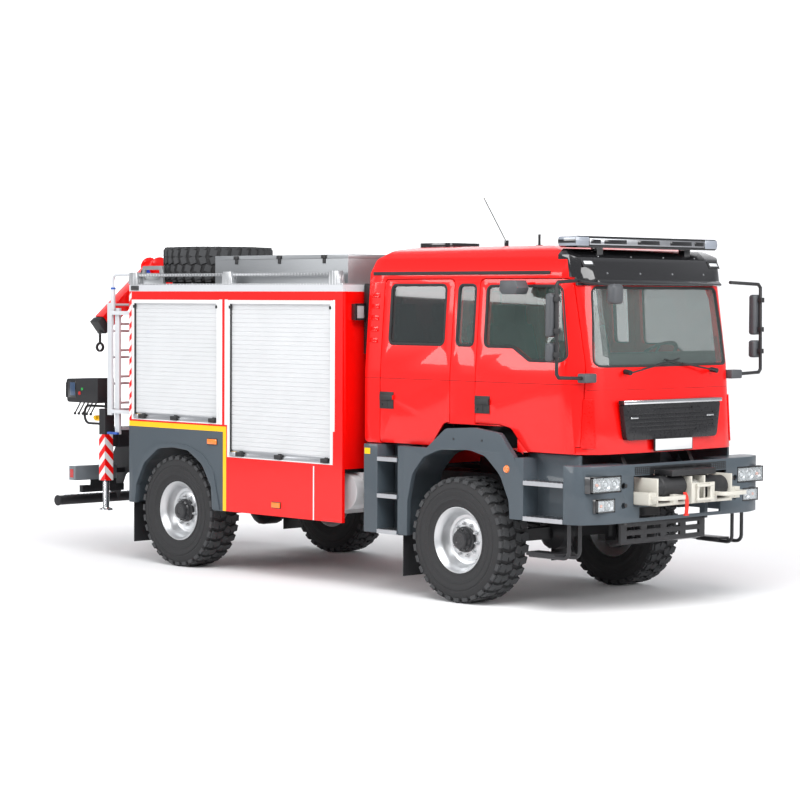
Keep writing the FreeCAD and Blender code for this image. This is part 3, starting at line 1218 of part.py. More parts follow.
def crane():
    ax, az = boom_foot
    kx, kz = knuckle
    boom_half = boom_width / 2
    cheek_in = boom_half + cheek_gap
    cheek_out = cheek_in + cheek_thickness
    # slewing column
    seat = crane_base_top + 60 + running_gap
    turret = rod((0, crane_y, seat), (0, crane_y, 1680), 165)
    flange = rod((0, crane_y, seat), (0, crane_y, seat + 40), 210)
    cheeks = []
    for sign in (-1, 1):
        cheek = front_profile([(-205, 1640), (-205, 1850, 60), (170, 2440, 80), (330, 2460, 60), (400, 2320, 60), (200, 1640)],
                              crane_y + sign * cheek_in, crane_y + sign * cheek_out)
        cheeks.append(cheek)
    web = box(130, 200, crane_y - cheek_in, crane_y + cheek_in, 1640, 2060)
    pins = [rod((ax, crane_y - cheek_out, az), (ax, crane_y + cheek_out, az), pin_radius),
            rod((lift_foot[0], crane_y - cheek_out, lift_foot[1]), (lift_foot[0], crane_y + cheek_out, lift_foot[1]), 22)]
    save("crane_column", joined([turret, flange, web] + cheeks + pins))

    # inner boom with cheeks at the knuckle and lugs for the lift cylinder
    length = math.hypot(kx - ax, kz - az)
    body = beam_between(boom_foot, knuckle, boom_depth, 0, length - 190, boom_half)
    foot = rod((ax, crane_y - boom_half, az), (ax, crane_y + boom_half, az), boom_depth / 2)
    body = body.fuse(foot).cut(rod((ax, crane_y - 200, az), (ax, crane_y + 200, az), pin_radius + running_gap))
    ends = []
    for sign in (-1, 1):
        plate = plate_outline(boom_foot, knuckle, boom_depth, length - 200, length)
        side = front_profile(plate, crane_y + sign * (jib_half_width + 4), crane_y + sign * boom_half)
        round_end = rod((kx, crane_y + sign * (jib_half_width + 4), kz), (kx, crane_y + sign * boom_half, kz), boom_depth / 2)
        ends += [side, round_end]
    ends.append(rod((kx, crane_y - boom_half, kz), (kx, crane_y + boom_half, kz), 28))
    ex, ez = lift_eye()
    lugs = []
    for sign in (-1, 1):
        lug = front_profile([(ex - 42, ez - 10, 20), (ex + 38, ez - 34, 20), (ex + 145, ez + 80), (ex + 60, ez + 165)],
                            crane_y + sign * 34, crane_y + sign * 56)
        lugs.append(lug)
    save("crane_boom", joined([body] + ends + lugs))

    # outer boom, hollow for its extension
    turn = math.radians(jib_angle)
    tip = (kx + math.cos(turn) * jib_length, kz + math.sin(turn) * jib_length)
    root = rod((kx, crane_y - jib_half_width, kz), (kx, crane_y + jib_half_width, kz), jib_depth / 2)
    tube_out = beam_between(knuckle, tip, jib_depth, 0, jib_length, jib_half_width)
    tube_in = beam_between(knuckle, tip, jib_depth - 2 * jib_wall, 130, jib_length + 10, jib_half_width - jib_wall)
    jib = joined([root, tube_out]).cut(tube_in)
    jib = jib.cut(rod((kx, crane_y - 200, kz), (kx, crane_y + 200, kz), 28 + running_gap))
    save("crane_jib", jib)
    slack = jib_wall + running_gap
    inner = beam_between(knuckle, tip, jib_depth - 2 * slack, 150, jib_length + 40, jib_half_width - slack)
    head = beam_between(knuckle, tip, jib_depth, jib_length + 20, jib_length + 90, jib_half_width)
    hx = kx + math.cos(turn) * (jib_length + 55)
    hz = kz + math.sin(turn) * (jib_length + 55)
    shank = bar((hx, crane_y, hz), (hx, crane_y, hz - 190), 16)
    bowl = turned([(-12, 30), (12, 30), (12, 52), (-12, 52)], (hx, crane_y, hz - 228), (0, 1, 0), 12)
    save("crane_extension", joined([inner, head, shank, bowl]))

    # lift cylinder
    px, pz = lift_foot
    ex, ez = lift_eye()
    span = math.hypot(ex - px, ez - pz)
    ux = (ex - px) / span
    uz = (ez - pz) / span

    def at(distance):
        return (px + ux * distance, crane_y, pz + uz * distance)

    barrel = joined([rod(at(20), at(560), lift_barrel_radius), rod((px, crane_y - 40, pz), (px, crane_y + 40, pz), 44)])
    barrel = barrel.cut(rod((px, crane_y - 60, pz), (px, crane_y + 60, pz), 22 + running_gap))
    barrel = barrel.cut(rod(at(80), at(570), lift_rod_radius + running_gap))
    save("lift_cylinder_barrel", barrel)
    eye = rod((ex, crane_y - 33.7, ez), (ex, crane_y + 33.7, ez), 38)
    save("lift_cylinder_rod", joined([rod(at(100), at(span), lift_rod_radius), eye]))


def plate_outline(a, b, depth, start, end):
    """The four corners of a flat bar along the line a to b in the crane's plane."""
    length = math.hypot(b[0] - a[0], b[1] - a[1])
    ux = (b[0] - a[0]) / length
    uz = (b[1] - a[1]) / length
    corners = []
    for along, across in ((start, -depth / 2), (start, depth / 2), (end, depth / 2), (end, -depth / 2)):
        corners.append((a[0] + ux * along - uz * across, a[1] + uz * along + ux * across))
    return corners


os.makedirs("parts", exist_ok=True)
wheels()
knuckles()
chassis_frame()
axles()
engine_and_driveline()
side_tanks()
bumper()
winch()
lamps()
front_fenders()
air_intake()
cab()
sun_visor()
cab_front_trim()
roof_fittings()
dashboard()
seats()
mirrors()
body_shell()
shutters()
arch_panels()
roof_deck()
spare_wheel()
ladder()
underrun()
crane_base()
stabilisers()
crane()
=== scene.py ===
# %% [markdown]
# # Rescue truck
# A four-wheel-drive rescue truck with a crew cab, a locker body behind roller shutters, roof boxes,
# a winch in the front bumper and a loading crane with stabilisers behind the body.
# The frame gives every solid and every joint. This script dresses the solids, replaces the few whose
# visible form is finer or softer than the solid, and adds the small parts.

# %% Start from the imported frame
import math
from collections import defaultdict

import bmesh
import bpy
from mathutils import Matrix, Vector
from mathutils.bvhtree import BVHTree


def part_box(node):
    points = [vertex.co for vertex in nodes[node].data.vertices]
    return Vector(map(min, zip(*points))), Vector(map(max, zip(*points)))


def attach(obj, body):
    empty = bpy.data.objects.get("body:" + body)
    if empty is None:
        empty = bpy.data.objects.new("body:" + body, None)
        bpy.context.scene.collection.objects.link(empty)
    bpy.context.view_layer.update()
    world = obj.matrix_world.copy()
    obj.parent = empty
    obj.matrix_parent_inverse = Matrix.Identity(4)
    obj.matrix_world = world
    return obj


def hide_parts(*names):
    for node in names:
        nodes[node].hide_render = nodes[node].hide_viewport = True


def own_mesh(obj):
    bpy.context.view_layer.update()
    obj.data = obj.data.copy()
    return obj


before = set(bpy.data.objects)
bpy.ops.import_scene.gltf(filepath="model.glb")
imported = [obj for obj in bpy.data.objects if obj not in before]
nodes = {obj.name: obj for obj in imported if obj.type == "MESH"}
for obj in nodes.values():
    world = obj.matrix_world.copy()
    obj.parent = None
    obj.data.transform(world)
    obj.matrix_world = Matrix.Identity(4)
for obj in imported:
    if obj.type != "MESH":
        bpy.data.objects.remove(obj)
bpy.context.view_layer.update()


def middle(node):
    """The middle of a node's box."""
    low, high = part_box(node)
    return (low + high) / 2


axle_y = middle("wheel_front_left").y
print("nodes:", len(nodes), "front axle at y =", round(axle_y, 3))

# %% [markdown]
# ## A short way to write materials
# Every surface here is procedural: sums, comparisons and noises of the place on the object.
# A wire is one output of the node graph; arithmetic between wires adds the nodes that compute it.
# Nodes placed one by one would work too, but they fill pages, and a sum is read at a glance.

# %% Wires and graphs
class Wire:
    """An output in a material's graph that can be used in sums."""

    def __init__(self, graph, socket):
        self.graph = graph
        self.socket = socket

    def size(self):
        return self.graph.math("ABSOLUTE", self)

    def between(self, low, high):
        return (self > low) * (self < high)

    def wave(self, pitch):
        """The place inside one repeat of a pattern, from 0 to 1."""
        return self.graph.math("FRACT", self / pitch)


def add_sums():
    """Let wires stand in sums, products and comparisons."""
    for sign, operation in (("add", "ADD"), ("sub", "SUBTRACT"), ("mul", "MULTIPLY"), ("truediv", "DIVIDE")):
        def forward(self, other, operation=operation):
            return self.graph.math(operation, self, other)

        def backward(self, other, operation=operation):
            return self.graph.math(operation, other, self)

        setattr(Wire, "__%s__" % sign, forward)
        setattr(Wire, "__r%s__" % sign, backward)
    Wire.__gt__ = lambda self, other: self.graph.math("GREATER_THAN", self, other)
    Wire.__lt__ = lambda self, other: self.graph.math("LESS_THAN", self, other)


add_sums()


print("wires ready")

# %% Materials as graphs
class Graph:
    """A material and its node graph."""

    def __init__(self, name):
        self.material = bpy.data.materials.new(name)
        self.material.use_nodes = True
        self.tree = self.material.node_tree
        self.shader = self.tree.nodes["Principled BSDF"]
        place = self.node("ShaderNodeTexCoord", {}, {}, "Object")
        self.place = place
        self.x = self.node("ShaderNodeSeparateXYZ", {}, {"Vector": place}, "X")
        self.y = self.node("ShaderNodeSeparateXYZ", {}, {"Vector": place}, "Y") - axle_y
        self.z = self.node("ShaderNodeSeparateXYZ", {}, {"Vector": place}, "Z")

    def join(self, socket, value):
        if isinstance(value, Wire):
            self.tree.links.new(value.socket, socket)
        else:
            socket.default_value = value

    def node(self, kind, settings, inputs, output=0):
        made = self.tree.nodes.new(kind)
        for name, value in settings.items():
            setattr(made, name, value)
        for name, value in inputs.items():
            self.join(made.inputs[name], value)
        return Wire(self, made.outputs[output])

    def math(self, operation, *values):
        return self.node("ShaderNodeMath", {"operation": operation}, dict(enumerate(values)))

    def mix(self, share, one, other):
        """A colour between two colours."""
        return self.node("ShaderNodeMix", {"data_type": "RGBA"}, {0: share, 6: one, 7: other}, 2)

    def noise(self, scale, detail=2.0):
        return self.node("ShaderNodeTexNoise", {}, {"Vector": self.place, "Scale": scale, "Detail": detail})

    def bump(self, height, strength=0.3, distance=0.001):
        inputs = {"Height": height, "Strength": strength, "Distance": distance}
        self.set("Normal", self.node("ShaderNodeBump", {}, inputs))

    def set(self, name, value):
        self.join(self.shader.inputs[name], value)
        return self


def rgb(red, green, blue):
    return (red, green, blue, 1.0)


def shaded(colour, share):
    """The same colour, darker or lighter."""
    return tuple(share * c for c in colour[:3]) + (1.0,)


def clouded(graph, colour, scale=3.0):
    """A colour with faint darker clouds."""
    return graph.mix(graph.noise(scale), shaded(colour, 0.9), colour)


print("graphs ready")

# %% [markdown]
# ## Colours
# The truck is fire-engine red over slate grey plastics, with a silver roof band, warm yellow marking
# stripes and white-grey shutters. Each colour is written once.
# A colour typed into every material would drift apart sooner or later.

# %% The colours
red = rgb(0.8, 0.002, 0.001)
slate = rgb(0.062, 0.078, 0.092)
slate_light = rgb(0.13, 0.15, 0.165)
black = rgb(0.01, 0.01, 0.011)
soft_black = rgb(0.022, 0.022, 0.024)
white = rgb(0.7, 0.7, 0.7)
silver = rgb(0.52, 0.53, 0.55)
yellow = rgb(0.88, 0.5, 0.005)
cream = rgb(0.56, 0.54, 0.48)
amber = rgb(0.88, 0.19, 0.004)
lamp_red = rgb(0.55, 0.008, 0.008)
lamp_blue = rgb(0.01, 0.06, 0.6)
print("colours ready")

# %% [markdown]
# ## Painted metal
# Sprayed enamel under clear coat. The coat is what makes the highlights crisp, and a very fine ripple
# in the surface keeps large panels from looking like plastic sheet.
# One smooth red would be quicker, but real panels are never quite even, so a faint cloud is mixed in.

# %% Painted metal
def paint(name, colour, coat=1.0, rough=0.32, ripple=0.05):
    graph = Graph(name)
    graph.set("Base Color", clouded(graph, colour))
    graph.set("Roughness", graph.noise(40.0) * 0.06 + rough)
    graph.set("Coat Weight", coat)
    graph.set("Coat Roughness", 0.04)
    graph.set("Specular IOR Level", 0.2)
    graph.bump(graph.noise(140.0, 1.0), ripple, 0.0006)
    return graph


red_paint = paint("red_enamel", red, 0.55)
chassis_paint = paint("chassis_black", soft_black, 0.1, 0.5, 0.15)
cream_paint = paint("cream_enamel", cream, 0.4, 0.4, 0.1)
white_paint = paint("white_enamel", white, 0.6, 0.35, 0.05)
print("painted metal:", red_paint.material.name)

# %% [markdown]
# ## Plastics, rubber and metals
# Moulded plastic has a fine grain, rubber is dull and dusty, aluminium is brushed along its length,
# and chrome only reflects.
# Grain this fine could be modelled, but it only shows in how light spreads, so a noise bends the normals.

# %% Plastics, rubber and metals
def grained(name, colour, rough, scale=900.0, strength=0.25):
    graph = Graph(name)
    cloud = graph.noise(18.0)
    lighter = shaded(colour, 1.25)
    graph.set("Base Color", graph.mix(cloud, colour, lighter))
    graph.set("Roughness", graph.noise(60.0) * 0.1 + rough)
    graph.bump(graph.noise(scale, 3.0), strength, 0.0004)
    return graph


def metal(name, colour, rough, brushed=200.0):
    graph = Graph(name)
    stretched = graph.node("ShaderNodeMapping", {}, {"Vector": graph.place, "Scale": (brushed, brushed, 6.0)})
    brush = graph.node("ShaderNodeTexNoise", {}, {"Vector": stretched, "Scale": 1.0})
    graph.set("Base Color", graph.mix(brush, shaded(colour, 0.86), colour))
    graph.set("Metallic", 1.0)
    graph.set("Roughness", brush * 0.12 + rough)
    graph.bump(brush, 0.08, 0.0003)
    return graph


black_plastic = grained("black_moulding", black, 0.5)
gloss_black = paint("gloss_black", black, 1.0, 0.12, 0.02)
rubber = grained("rubber", rgb(0.016, 0.016, 0.017), 0.75, 300.0, 0.4)
aluminium = metal("brushed_aluminium", silver, 0.28)
chrome = metal("chrome", rgb(0.82, 0.83, 0.84), 0.05, 20.0)
print("plain materials ready")

tank_silver = paint("tank_silver", rgb(0.6, 0.61, 0.62), 0.3, 0.35, 0.05)
ladder_grey = paint("ladder_grey", rgb(0.58, 0.6, 0.62), 0.2, 0.4, 0.05)
tread_rubber = grained("tread_rubber", rgb(0.036, 0.037, 0.039), 0.8, 260.0, 0.5)
mirror_grey = grained("mirror_grey", rgb(0.05, 0.053, 0.058), 0.45)
rope_white = grained("winch_rope", rgb(0.62, 0.61, 0.57), 0.8, 500.0, 0.5)
strap_red = grained("strap_web", rgb(0.55, 0.02, 0.01), 0.7, 800.0, 0.5)
tag_yellow = paint("tag_yellow", yellow, 0.3, 0.4, 0.05)
cap_blue = grained("cap_blue", rgb(0.02, 0.08, 0.35), 0.45)
screen_blue = paint("screen", rgb(0.03, 0.06, 0.12), 1.0, 0.1, 0.02)
seat_cloth = grained("seat_cloth", rgb(0.045, 0.047, 0.052), 0.9, 450.0, 0.6)

# %% [markdown]
# ## Chequer plate
# Aluminium tread plate carries short raised bars set in alternate directions.
# Two crossed sets of bars come from the place on the plate, so no picture is needed.
# Modelled bars would take a very large number of faces, and they stand up only a millimetre.

# %% Chequer plate
def chequer(name):
    graph = metal(name, silver, 0.3, 60.0)
    pitch = 0.045
    along = (graph.x + graph.y).wave(pitch)
    across = (graph.x - graph.y).wave(pitch)
    first = along.between(0.1, 0.46) * across.between(0.26, 0.48)
    second = across.between(0.58, 0.94) * along.between(0.64, 0.86)
    bars = first + second
    # The raised bars are painted lighter than the plate between them: a painted highlight on the bars and
    # painted shade in the ground between them.
    graph.set("Base Color", graph.mix(bars, rgb(0.3, 0.31, 0.32), rgb(0.74, 0.75, 0.76)))
    graph.set("Metallic", 0.55)
    graph.bump(bars, 0.9, 0.0014)
    return graph


chequer_plate = chequer("chequer_plate")
print("chequer plate ready")

# %% [markdown]
# ## Glass and lenses
# Vehicle glass is slightly green and mirrors the sky. Lenses are clear or coloured plastic over
# ribbed reflectors.
# Panes could bend light as thick glass does, but they are thin, so a tinted surface that lets part of the
# light through looks the same and renders sooner. Ribs on a lens are two sines multiplied.

# %% Glass and lenses
def glass(name, tint, alpha):
    graph = Graph(name)
    graph.set("Base Color", graph.mix(graph.noise(2.0), tint, shaded(tint, 0.85)))
    graph.set("Roughness", 0.03)
    graph.set("Coat Weight", 1.0)
    graph.set("Coat Roughness", 0.01)
    graph.set("Alpha", graph.noise(1.5) * 0.04 + alpha)
    graph.set("IOR", 1.5)
    return graph


def lens(name, colour, rib=0.012, shine=0.0):
    graph = Graph(name)
    ribs = graph.math("SINE", graph.x * (6.283 / rib)) * graph.math("SINE", graph.z * (6.283 / rib))
    # The ribs also darken the colour in their hollows and lighten it on their crests: painted shade and
    # painted highlight that follow the ribs.
    graph.set("Base Color", graph.mix(ribs * 0.25 + 0.5, shaded(colour, 0.6), colour))
    graph.set("Roughness", 0.12)
    graph.set("Coat Weight", 1.0)
    graph.set("Coat Roughness", 0.02)
    graph.set("Emission Color", colour)
    graph.set("Emission Strength", shine)
    graph.bump(ribs, 0.5, 0.001)
    return graph


window = glass("window_glass", rgb(0.055, 0.085, 0.075), 0.42)
dark_window = glass("privacy_glass", rgb(0.02, 0.026, 0.026), 0.66)
windscreen = glass("windscreen", rgb(0.13, 0.17, 0.16), 0.3)
clear_cover = glass("clear_cover", rgb(0.75, 0.8, 0.82), 0.22)
lens_clear = lens("lens_clear", rgb(0.72, 0.74, 0.76))
lens_amber = lens("lens_amber", amber)
lens_red = lens("lens_red", lamp_red)
lens_blue = lens("lens_blue", lamp_blue, 0.02)
lens_green = lens("lens_green", rgb(0.02, 0.35, 0.06))
lens_smoke = lens("lens_smoke", rgb(0.3, 0.33, 0.38))
print("glass and lenses ready")

# %% [markdown]
# ## Surfaces with more than one finish
# Some solids carry several finishes: the body side has a silver roof band and yellow stripes, and the
# lamps are of several colours. Bands in the object's own coordinates part them. Painting a mask would
# need an unwrapped surface, and a comparison of heights needs nothing and moves with the part.

# %% The body's livery
def livery():
    graph = paint("body_livery", red, 0.55)
    side = graph.x.size() > 1.248
    rear_half = graph.y > 3.195
    band = graph.z > 2.785
    stripe = graph.z.between(1.4, 1.452) * rear_half
    upright = graph.y.between(3.15, 3.2) * (graph.z < 1.452)
    seam = graph.y.between(1.858, 1.876) * graph.z.between(0.6, 1.13)
    tape = (graph.y > 4.66) * side * (graph.z > 1.46) * (graph.z < 2.78)
    diagonal = (graph.y + graph.z).wave(0.12) > 0.5
    lockers = side * (graph.z > 1.47) * (graph.z < 2.705)
    posts = graph.y.between(3.13, 3.176) + graph.y.between(3.214, 3.262) + graph.y.between(1.578, 1.602)
    base = clouded(graph, red)
    colour = graph.mix(lockers * posts, base, white)
    colour = graph.mix(band, colour, silver)
    colour = graph.mix(side * (stripe + upright), colour, yellow)
    colour = graph.mix(side * seam, colour, white)
    colour = graph.mix(tape * diagonal, colour, white)
    graph.set("Base Color", colour)
    return graph


def creased_red():
    """The cab's enamel, with the pressed lines below the windows as thin shadows."""
    graph = paint("cab_enamel", red, 0.55)
    side_line = graph.z.between(1.983, 1.989) * (graph.x.size() > 1.0)
    front_line = graph.z.between(1.935, 1.94) * (graph.y < -1.3)
    seam = graph.x.size().between(0.8, 0.804) * (graph.y < -1.3) * graph.z.between(1.94, 2.12)
    base = clouded(graph, red)
    lines = side_line + front_line + seam
    housing = (graph.z < 1.6) * (graph.x.size() < 1.1) * graph.y.between(-0.66, 0.5)
    enamel = graph.mix(lines, base, shaded(red, 0.35))
    graph.set("Base Color", graph.mix((graph.z < 1.384) + housing, enamel, soft_black))
    return graph


def trim_faces():
    """The grille is gloss black and the vanes at the cab's corners are red."""
    graph = paint("front_trim", black, 0.25, 0.25, 0.02)
    grille = graph.mix(graph.noise(5.0), black, soft_black)
    graph.set("Base Color", graph.mix(graph.x.size() > 0.8, grille, red))
    return graph


def slate_over_black(name, plain):
    """Slate enamel whose lower plates and flaps are left black."""
    graph = paint(name, slate, 0.3, 0.42, 0.1)
    base = clouded(graph, slate)
    graph.set("Base Color", graph.mix(plain(graph), base, soft_black))
    return graph


body_livery = livery()
bumper_slate = slate_over_black("bumper_slate", lambda graph: graph.z < 0.8)
fender_slate = slate_over_black("fender_slate", lambda graph: (graph.z < 0.56) * (graph.y > 0.7))
arch_slate = slate_over_black("arch_slate", lambda graph: graph.z < 0.61)
cab_red = creased_red()
front_trim = trim_faces()
print("livery ready")

# %% Lamps and warning stripes
def lamp_bodies():
    """Black housings in front, amber markers at the sides, grey work lamps, slate boxes behind."""
    graph = grained("lamp_bodies", black, 0.35)
    side = (graph.x.size() > 1.249) * (graph.z < 2.0)
    front = (graph.y < -1.3) * (graph.x.size() < 1.19)
    work = graph.z.between(2.535, 2.655) * graph.x.size().between(1.035, 1.125) * (graph.y < 1.5)
    rear = graph.y > 5.6
    colour = graph.mix(front, black, soft_black)
    colour = graph.mix(side, colour, amber)
    colour = graph.mix(work, colour, rgb(0.36, 0.37, 0.38))
    colour = graph.mix(rear, colour, slate_light)
    graph.set("Base Color", colour)
    graph.set("Roughness", 0.2)
    graph.set("Coat Weight", 0.8)
    return graph


def hazard(name, first, second, pitch=0.15):
    """Warning stripes at forty-five degrees on the sleeves' ends."""
    graph = paint(name, second, 0.5, 0.35)
    diagonal = (graph.x + graph.y + graph.z).wave(pitch) > 0.5
    graph.set("Base Color", graph.mix(diagonal, first, second))
    return graph


lamp_material = lamp_bodies()
hazard_stripes = hazard("hazard_stripes", white, red)
print("lamp and stripe materials ready")

# %% [markdown]
# ## Small tools for shapes
# Most small parts are blocks, turned shapes or extruded outlines. Each tool works on one bmesh, so a
# part made of several shapes stays one piece.
# Blender's own menu would give one object for each shape, to be joined and named afterwards.

# %% Tools for shapes
def block(mesh, low, high):
    low, high = Vector(low), Vector(high)
    size = [abs(h - l) for l, h in zip(low, high)]
    place = Matrix.Translation((low + high) / 2) @ Matrix.Diagonal(size + [1.0])
    return bmesh.ops.create_cube(mesh, size=1.0, matrix=place)["verts"]


def barrel(mesh, start, end, radius, sides=24, radius_end=None):
    start, end = Vector(start), Vector(end)
    run = end - start
    turn = run.to_track_quat("Z", "Y").to_matrix().to_4x4()
    place = Matrix.Translation((start + end) / 2) @ turn
    return bmesh.ops.create_cone(mesh, cap_ends=True, segments=sides, radius1=radius,
                                 radius2=radius if radius_end is None else radius_end,
                                 depth=run.length, matrix=place)["verts"]


def lathe(mesh, profile, centre, axis, steps=48):
    """Spin an open outline of (along the axis, radius) points right round an axis."""
    axis = Vector(axis).normalized()
    aside = axis.orthogonal().normalized()
    centre = Vector(centre)
    verts = [mesh.verts.new(centre + axis * a + aside * r) for a, r in profile]
    edges = [mesh.edges.new(pair) for pair in zip(verts[:-1], verts[1:])]
    bmesh.ops.spin(mesh, geom=verts + edges, cent=centre, axis=axis, angle=math.tau, steps=steps,
                   use_merge=True)


def prism(mesh, points, axis, start, end):
    """A flat outline pushed along X, Y or Z."""
    place = "xyz".index(axis)
    face = mesh.faces.new([mesh.verts.new((*pair[:place], start, *pair[place:])) for pair in points])
    pushed = bmesh.ops.extrude_face_region(mesh, geom=[face])["geom"]
    run = [end - start if i == place else 0 for i in range(3)]
    bmesh.ops.translate(mesh, verts=[v for v in pushed if isinstance(v, bmesh.types.BMVert)], vec=run)


print("shape tools ready")

# %% [markdown]
# ## From a shape to a piece
# A piece is an object that rides on one body of the truck, with its material and its edges' rounding.
# Every small part goes through the same few lines, so none can be left without a body or a material.

# %% Making pieces
def finish(name, mesh, graph, bevel=0.0, smooth=35.0, body="chassis", slot=None):
    """Turn a bmesh into a piece that rides on a body."""
    bmesh.ops.remove_doubles(mesh, verts=mesh.verts, dist=0.00005)
    bmesh.ops.recalc_face_normals(mesh, faces=mesh.faces)
    data = bpy.data.meshes.new(name)
    mesh.to_mesh(data)
    mesh.free()
    return dressed_object(name, data, body, graph, bevel, smooth, slot)


def linked(name, data):
    """A new object in the scene."""
    made = bpy.data.objects.new(name, data)
    bpy.context.scene.collection.objects.link(made)
    return made


def evaluated(made):
    """A mesh of an object as its modifiers leave it."""
    return bpy.data.meshes.new_from_object(made.evaluated_get(bpy.context.evaluated_depsgraph_get()))


def dressed_object(name, data, body, graph, bevel=0.0, smooth=35.0, slot=None):
    piece = linked(name, data)
    data.materials.append(graph.material)
    soften(piece, bevel, smooth)
    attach(piece, body)
    return piece


def soften(piece, bevel, smooth):
    """Rounded edges, and shading that is smooth only over gentle bends."""
    for polygon in piece.data.polygons:
        polygon.use_smooth = True
    if bevel:
        rounding = piece.modifiers.new("Rounding", "BEVEL")
        rounding.width = bevel
        rounding.segments = 2
        rounding.limit_method = "ANGLE"
        rounding.angle_limit = math.radians(40)
    split = piece.modifiers.new("Creases", "EDGE_SPLIT")
    split.split_angle = math.radians(smooth)


def finish_all(meshes, kinds, body="chassis"):
    """Finish several pieces that were built side by side."""
    for name, look in kinds.items():
        finish(name, meshes[name], *look, body=body)


def sides():
    return (("left", 1), ("right", -1))


print("piece tools ready")

# %% [markdown]
# ## Dressing the solids
# A solid whose form is right keeps its mesh. Its loose triangles are welded in a modifier, the sharp
# edges get a small rounding, and the material goes in its own slot.
# Real edges are never quite sharp, and the rounding is what catches the light. Modifiers are used
# because they leave the solid's own mesh as the frame gave it.

# %% Finishes of the solids
# Each line gives a finish, the width of its rounded edges in metres, and the solids that have it.
# The sign @ stands for both sides of the truck.
finishes = (
    (cab_red, 0.004, "cab_shell front_door_@ rear_door_@"), (front_trim, 0.003, "cab_front_trim"),
    (gloss_black, 0.004, "sun_visor roof_fittings"), (black_plastic, 0.004, "dashboard air_intake"),
    (black_plastic, 0.006, "mirrors"), (black_plastic, 0.003, "crane_extension"),
    (bumper_slate, 0.004, "front_bumper"), (fender_slate, 0.004, "front_fenders"),
    (arch_slate, 0.003, "arch_panels"),
    (chassis_paint, 0.0, "chassis_frame axles knuckle_@"), (chassis_paint, 0.005, "engine_and_driveline"),
    (chassis_paint, 0.003, "underrun crane_base stabiliser_beam_@"), (tank_silver, 0.004, "side_tanks"),
    (cream_paint, 0.003, "winch"), (lamp_material, 0.003, "lamps"), (body_livery, 0.003, "body_shell"),
    (white_paint, 0.002, "shutter_frames"), (chequer_plate, 0.003, "roof_deck roof_box_lid_@"),
    (ladder_grey, 0.002, "ladder"), (red_paint, 0.004, "crane_column crane_boom"),
    (red_paint, 0.003, "crane_jib"),
    (red_paint, 0.002, "lift_cylinder_barrel"), (chrome, 0.0, "lift_cylinder_rod"),
    (chrome, 0.002, "stabiliser_leg_@"), (windscreen, 0.0, "cab_glass"), (window, 0.0, "front_door_glass_@"),
    (dark_window, 0.0, "rear_door_glass_@"), (aluminium, 0.002, "shutter_bar_front_@ shutter_bar_rear_@"),
)


def spread(names):
    """The solids that a line of names stands for."""
    for name in names.split():
        yield from (name.replace("@", side) for side, sign in sides()) if "@" in name else (name,)


dressed = [(nodes[name], graph, bevel) for graph, bevel, names in finishes for name in spread(names)]
for solid, graph, bevel in dressed:
    if "custom_normal" in solid.data.attributes:
        solid.data.attributes.remove(solid.data.attributes["custom_normal"])
    solid.data.materials.clear()
    solid.data.materials.append(graph.material)
    weld = solid.modifiers.new("Weld", "WELD")
    weld.merge_threshold = 0.0002
    soften(solid, bevel, 33.0)
print("dressed", len(dressed), "of", len(nodes), "solids")

# %% [markdown]
# ## Wheels
# All-terrain single tyres, 365 mm wide: a carcass with ribbed walls, blocky lugs in two staggered rows
# with shoulder blocks, and a dished silver rim with ten studs and a black hub. One outline is spun for
# the carcass, and each lug is a block set round the tread.
# A height pattern on the carcass could give the lugs too, but it needs far more faces to be as crisp.

# %% The tyres
rim_material = metal("rim_silver", rgb(0.66, 0.67, 0.68), 0.34, 30.0)
hub_material = paint("hub_black", soft_black, 0.5, 0.35, 0.1)
tyre_outer = 0.565
wheel_centre = 1.045


def tyre_mesh(centre, axis):
    """Carcass with rings on its walls, about an axis that points outboard."""
    mesh = bmesh.new()
    wall = [(-0.145, 0.285), (-0.152, 0.3), (-0.158, 0.303), (-0.163, 0.318), (-0.161, 0.322),
            (-0.172, 0.362), (-0.1755, 0.365), (-0.178, 0.39), (-0.1755, 0.393), (-0.181, 0.425),
            (-0.1825, 0.43), (-0.1825, 0.446), (-0.178, 0.45), (-0.178, 0.462), (-0.1815, 0.466),
            (-0.176, 0.505), (-0.162, 0.532), (-0.12, 0.544)]
    profile = wall + [(-a, r) for a, r in reversed(wall)] + wall[:1]
    lathe(mesh, profile, centre, axis, 64)
    return mesh


def tread_mesh(centre, axis):
    """Lugs in two staggered rows with shoulder blocks."""
    mesh = bmesh.new()
    axis = Vector(axis).normalized()
    face = Vector((1, 0, 0)).rotation_difference(axis).to_matrix().to_4x4()
    count = 32
    # Place across the tread, width, length, skew, depth, and how far below the tyre's outer radius it ends.
    lugs = ((0.041, 0.07, 0.066, 0.32, 0.022, 0.0019), (0.116, 0.07, 0.072, -0.26, 0.022, 0.0019),
            (0.165, 0.026, 0.06, 0.0, 0.034, 0.013))
    hub = Matrix.Translation(Vector(centre))
    for row, shift in ((1, 0.0), (-1, 0.5)):
        for i in range(count):
            turn = hub @ Matrix.Rotation(math.tau * (i + shift) / count, 4, axis)
            for across, width, length, skew, depth, sunk in lugs:
                base = Matrix.Translation((row * across, 0, tyre_outer - sunk - depth / 2))
                base = base @ Matrix.Rotation(skew * row, 4, "Z")
                base = base @ Matrix.Diagonal((width, length, depth, 1.0))
                bmesh.ops.create_cube(mesh, size=1.0, matrix=turn @ face @ base)
    return mesh


print("tyre shapes ready")

# %% Rims and hubs
def round_hub(centre, axis, radius, count=10, shift=0.0):
    """Points in a ring about the wheel's axis."""
    axis = Vector(axis).normalized()
    aside = axis.orthogonal().normalized() * radius
    turns = [Matrix.Rotation(math.tau * (i + shift) / count, 3, axis) for i in range(count)]
    return [Vector(centre) + turn @ aside for turn in turns]


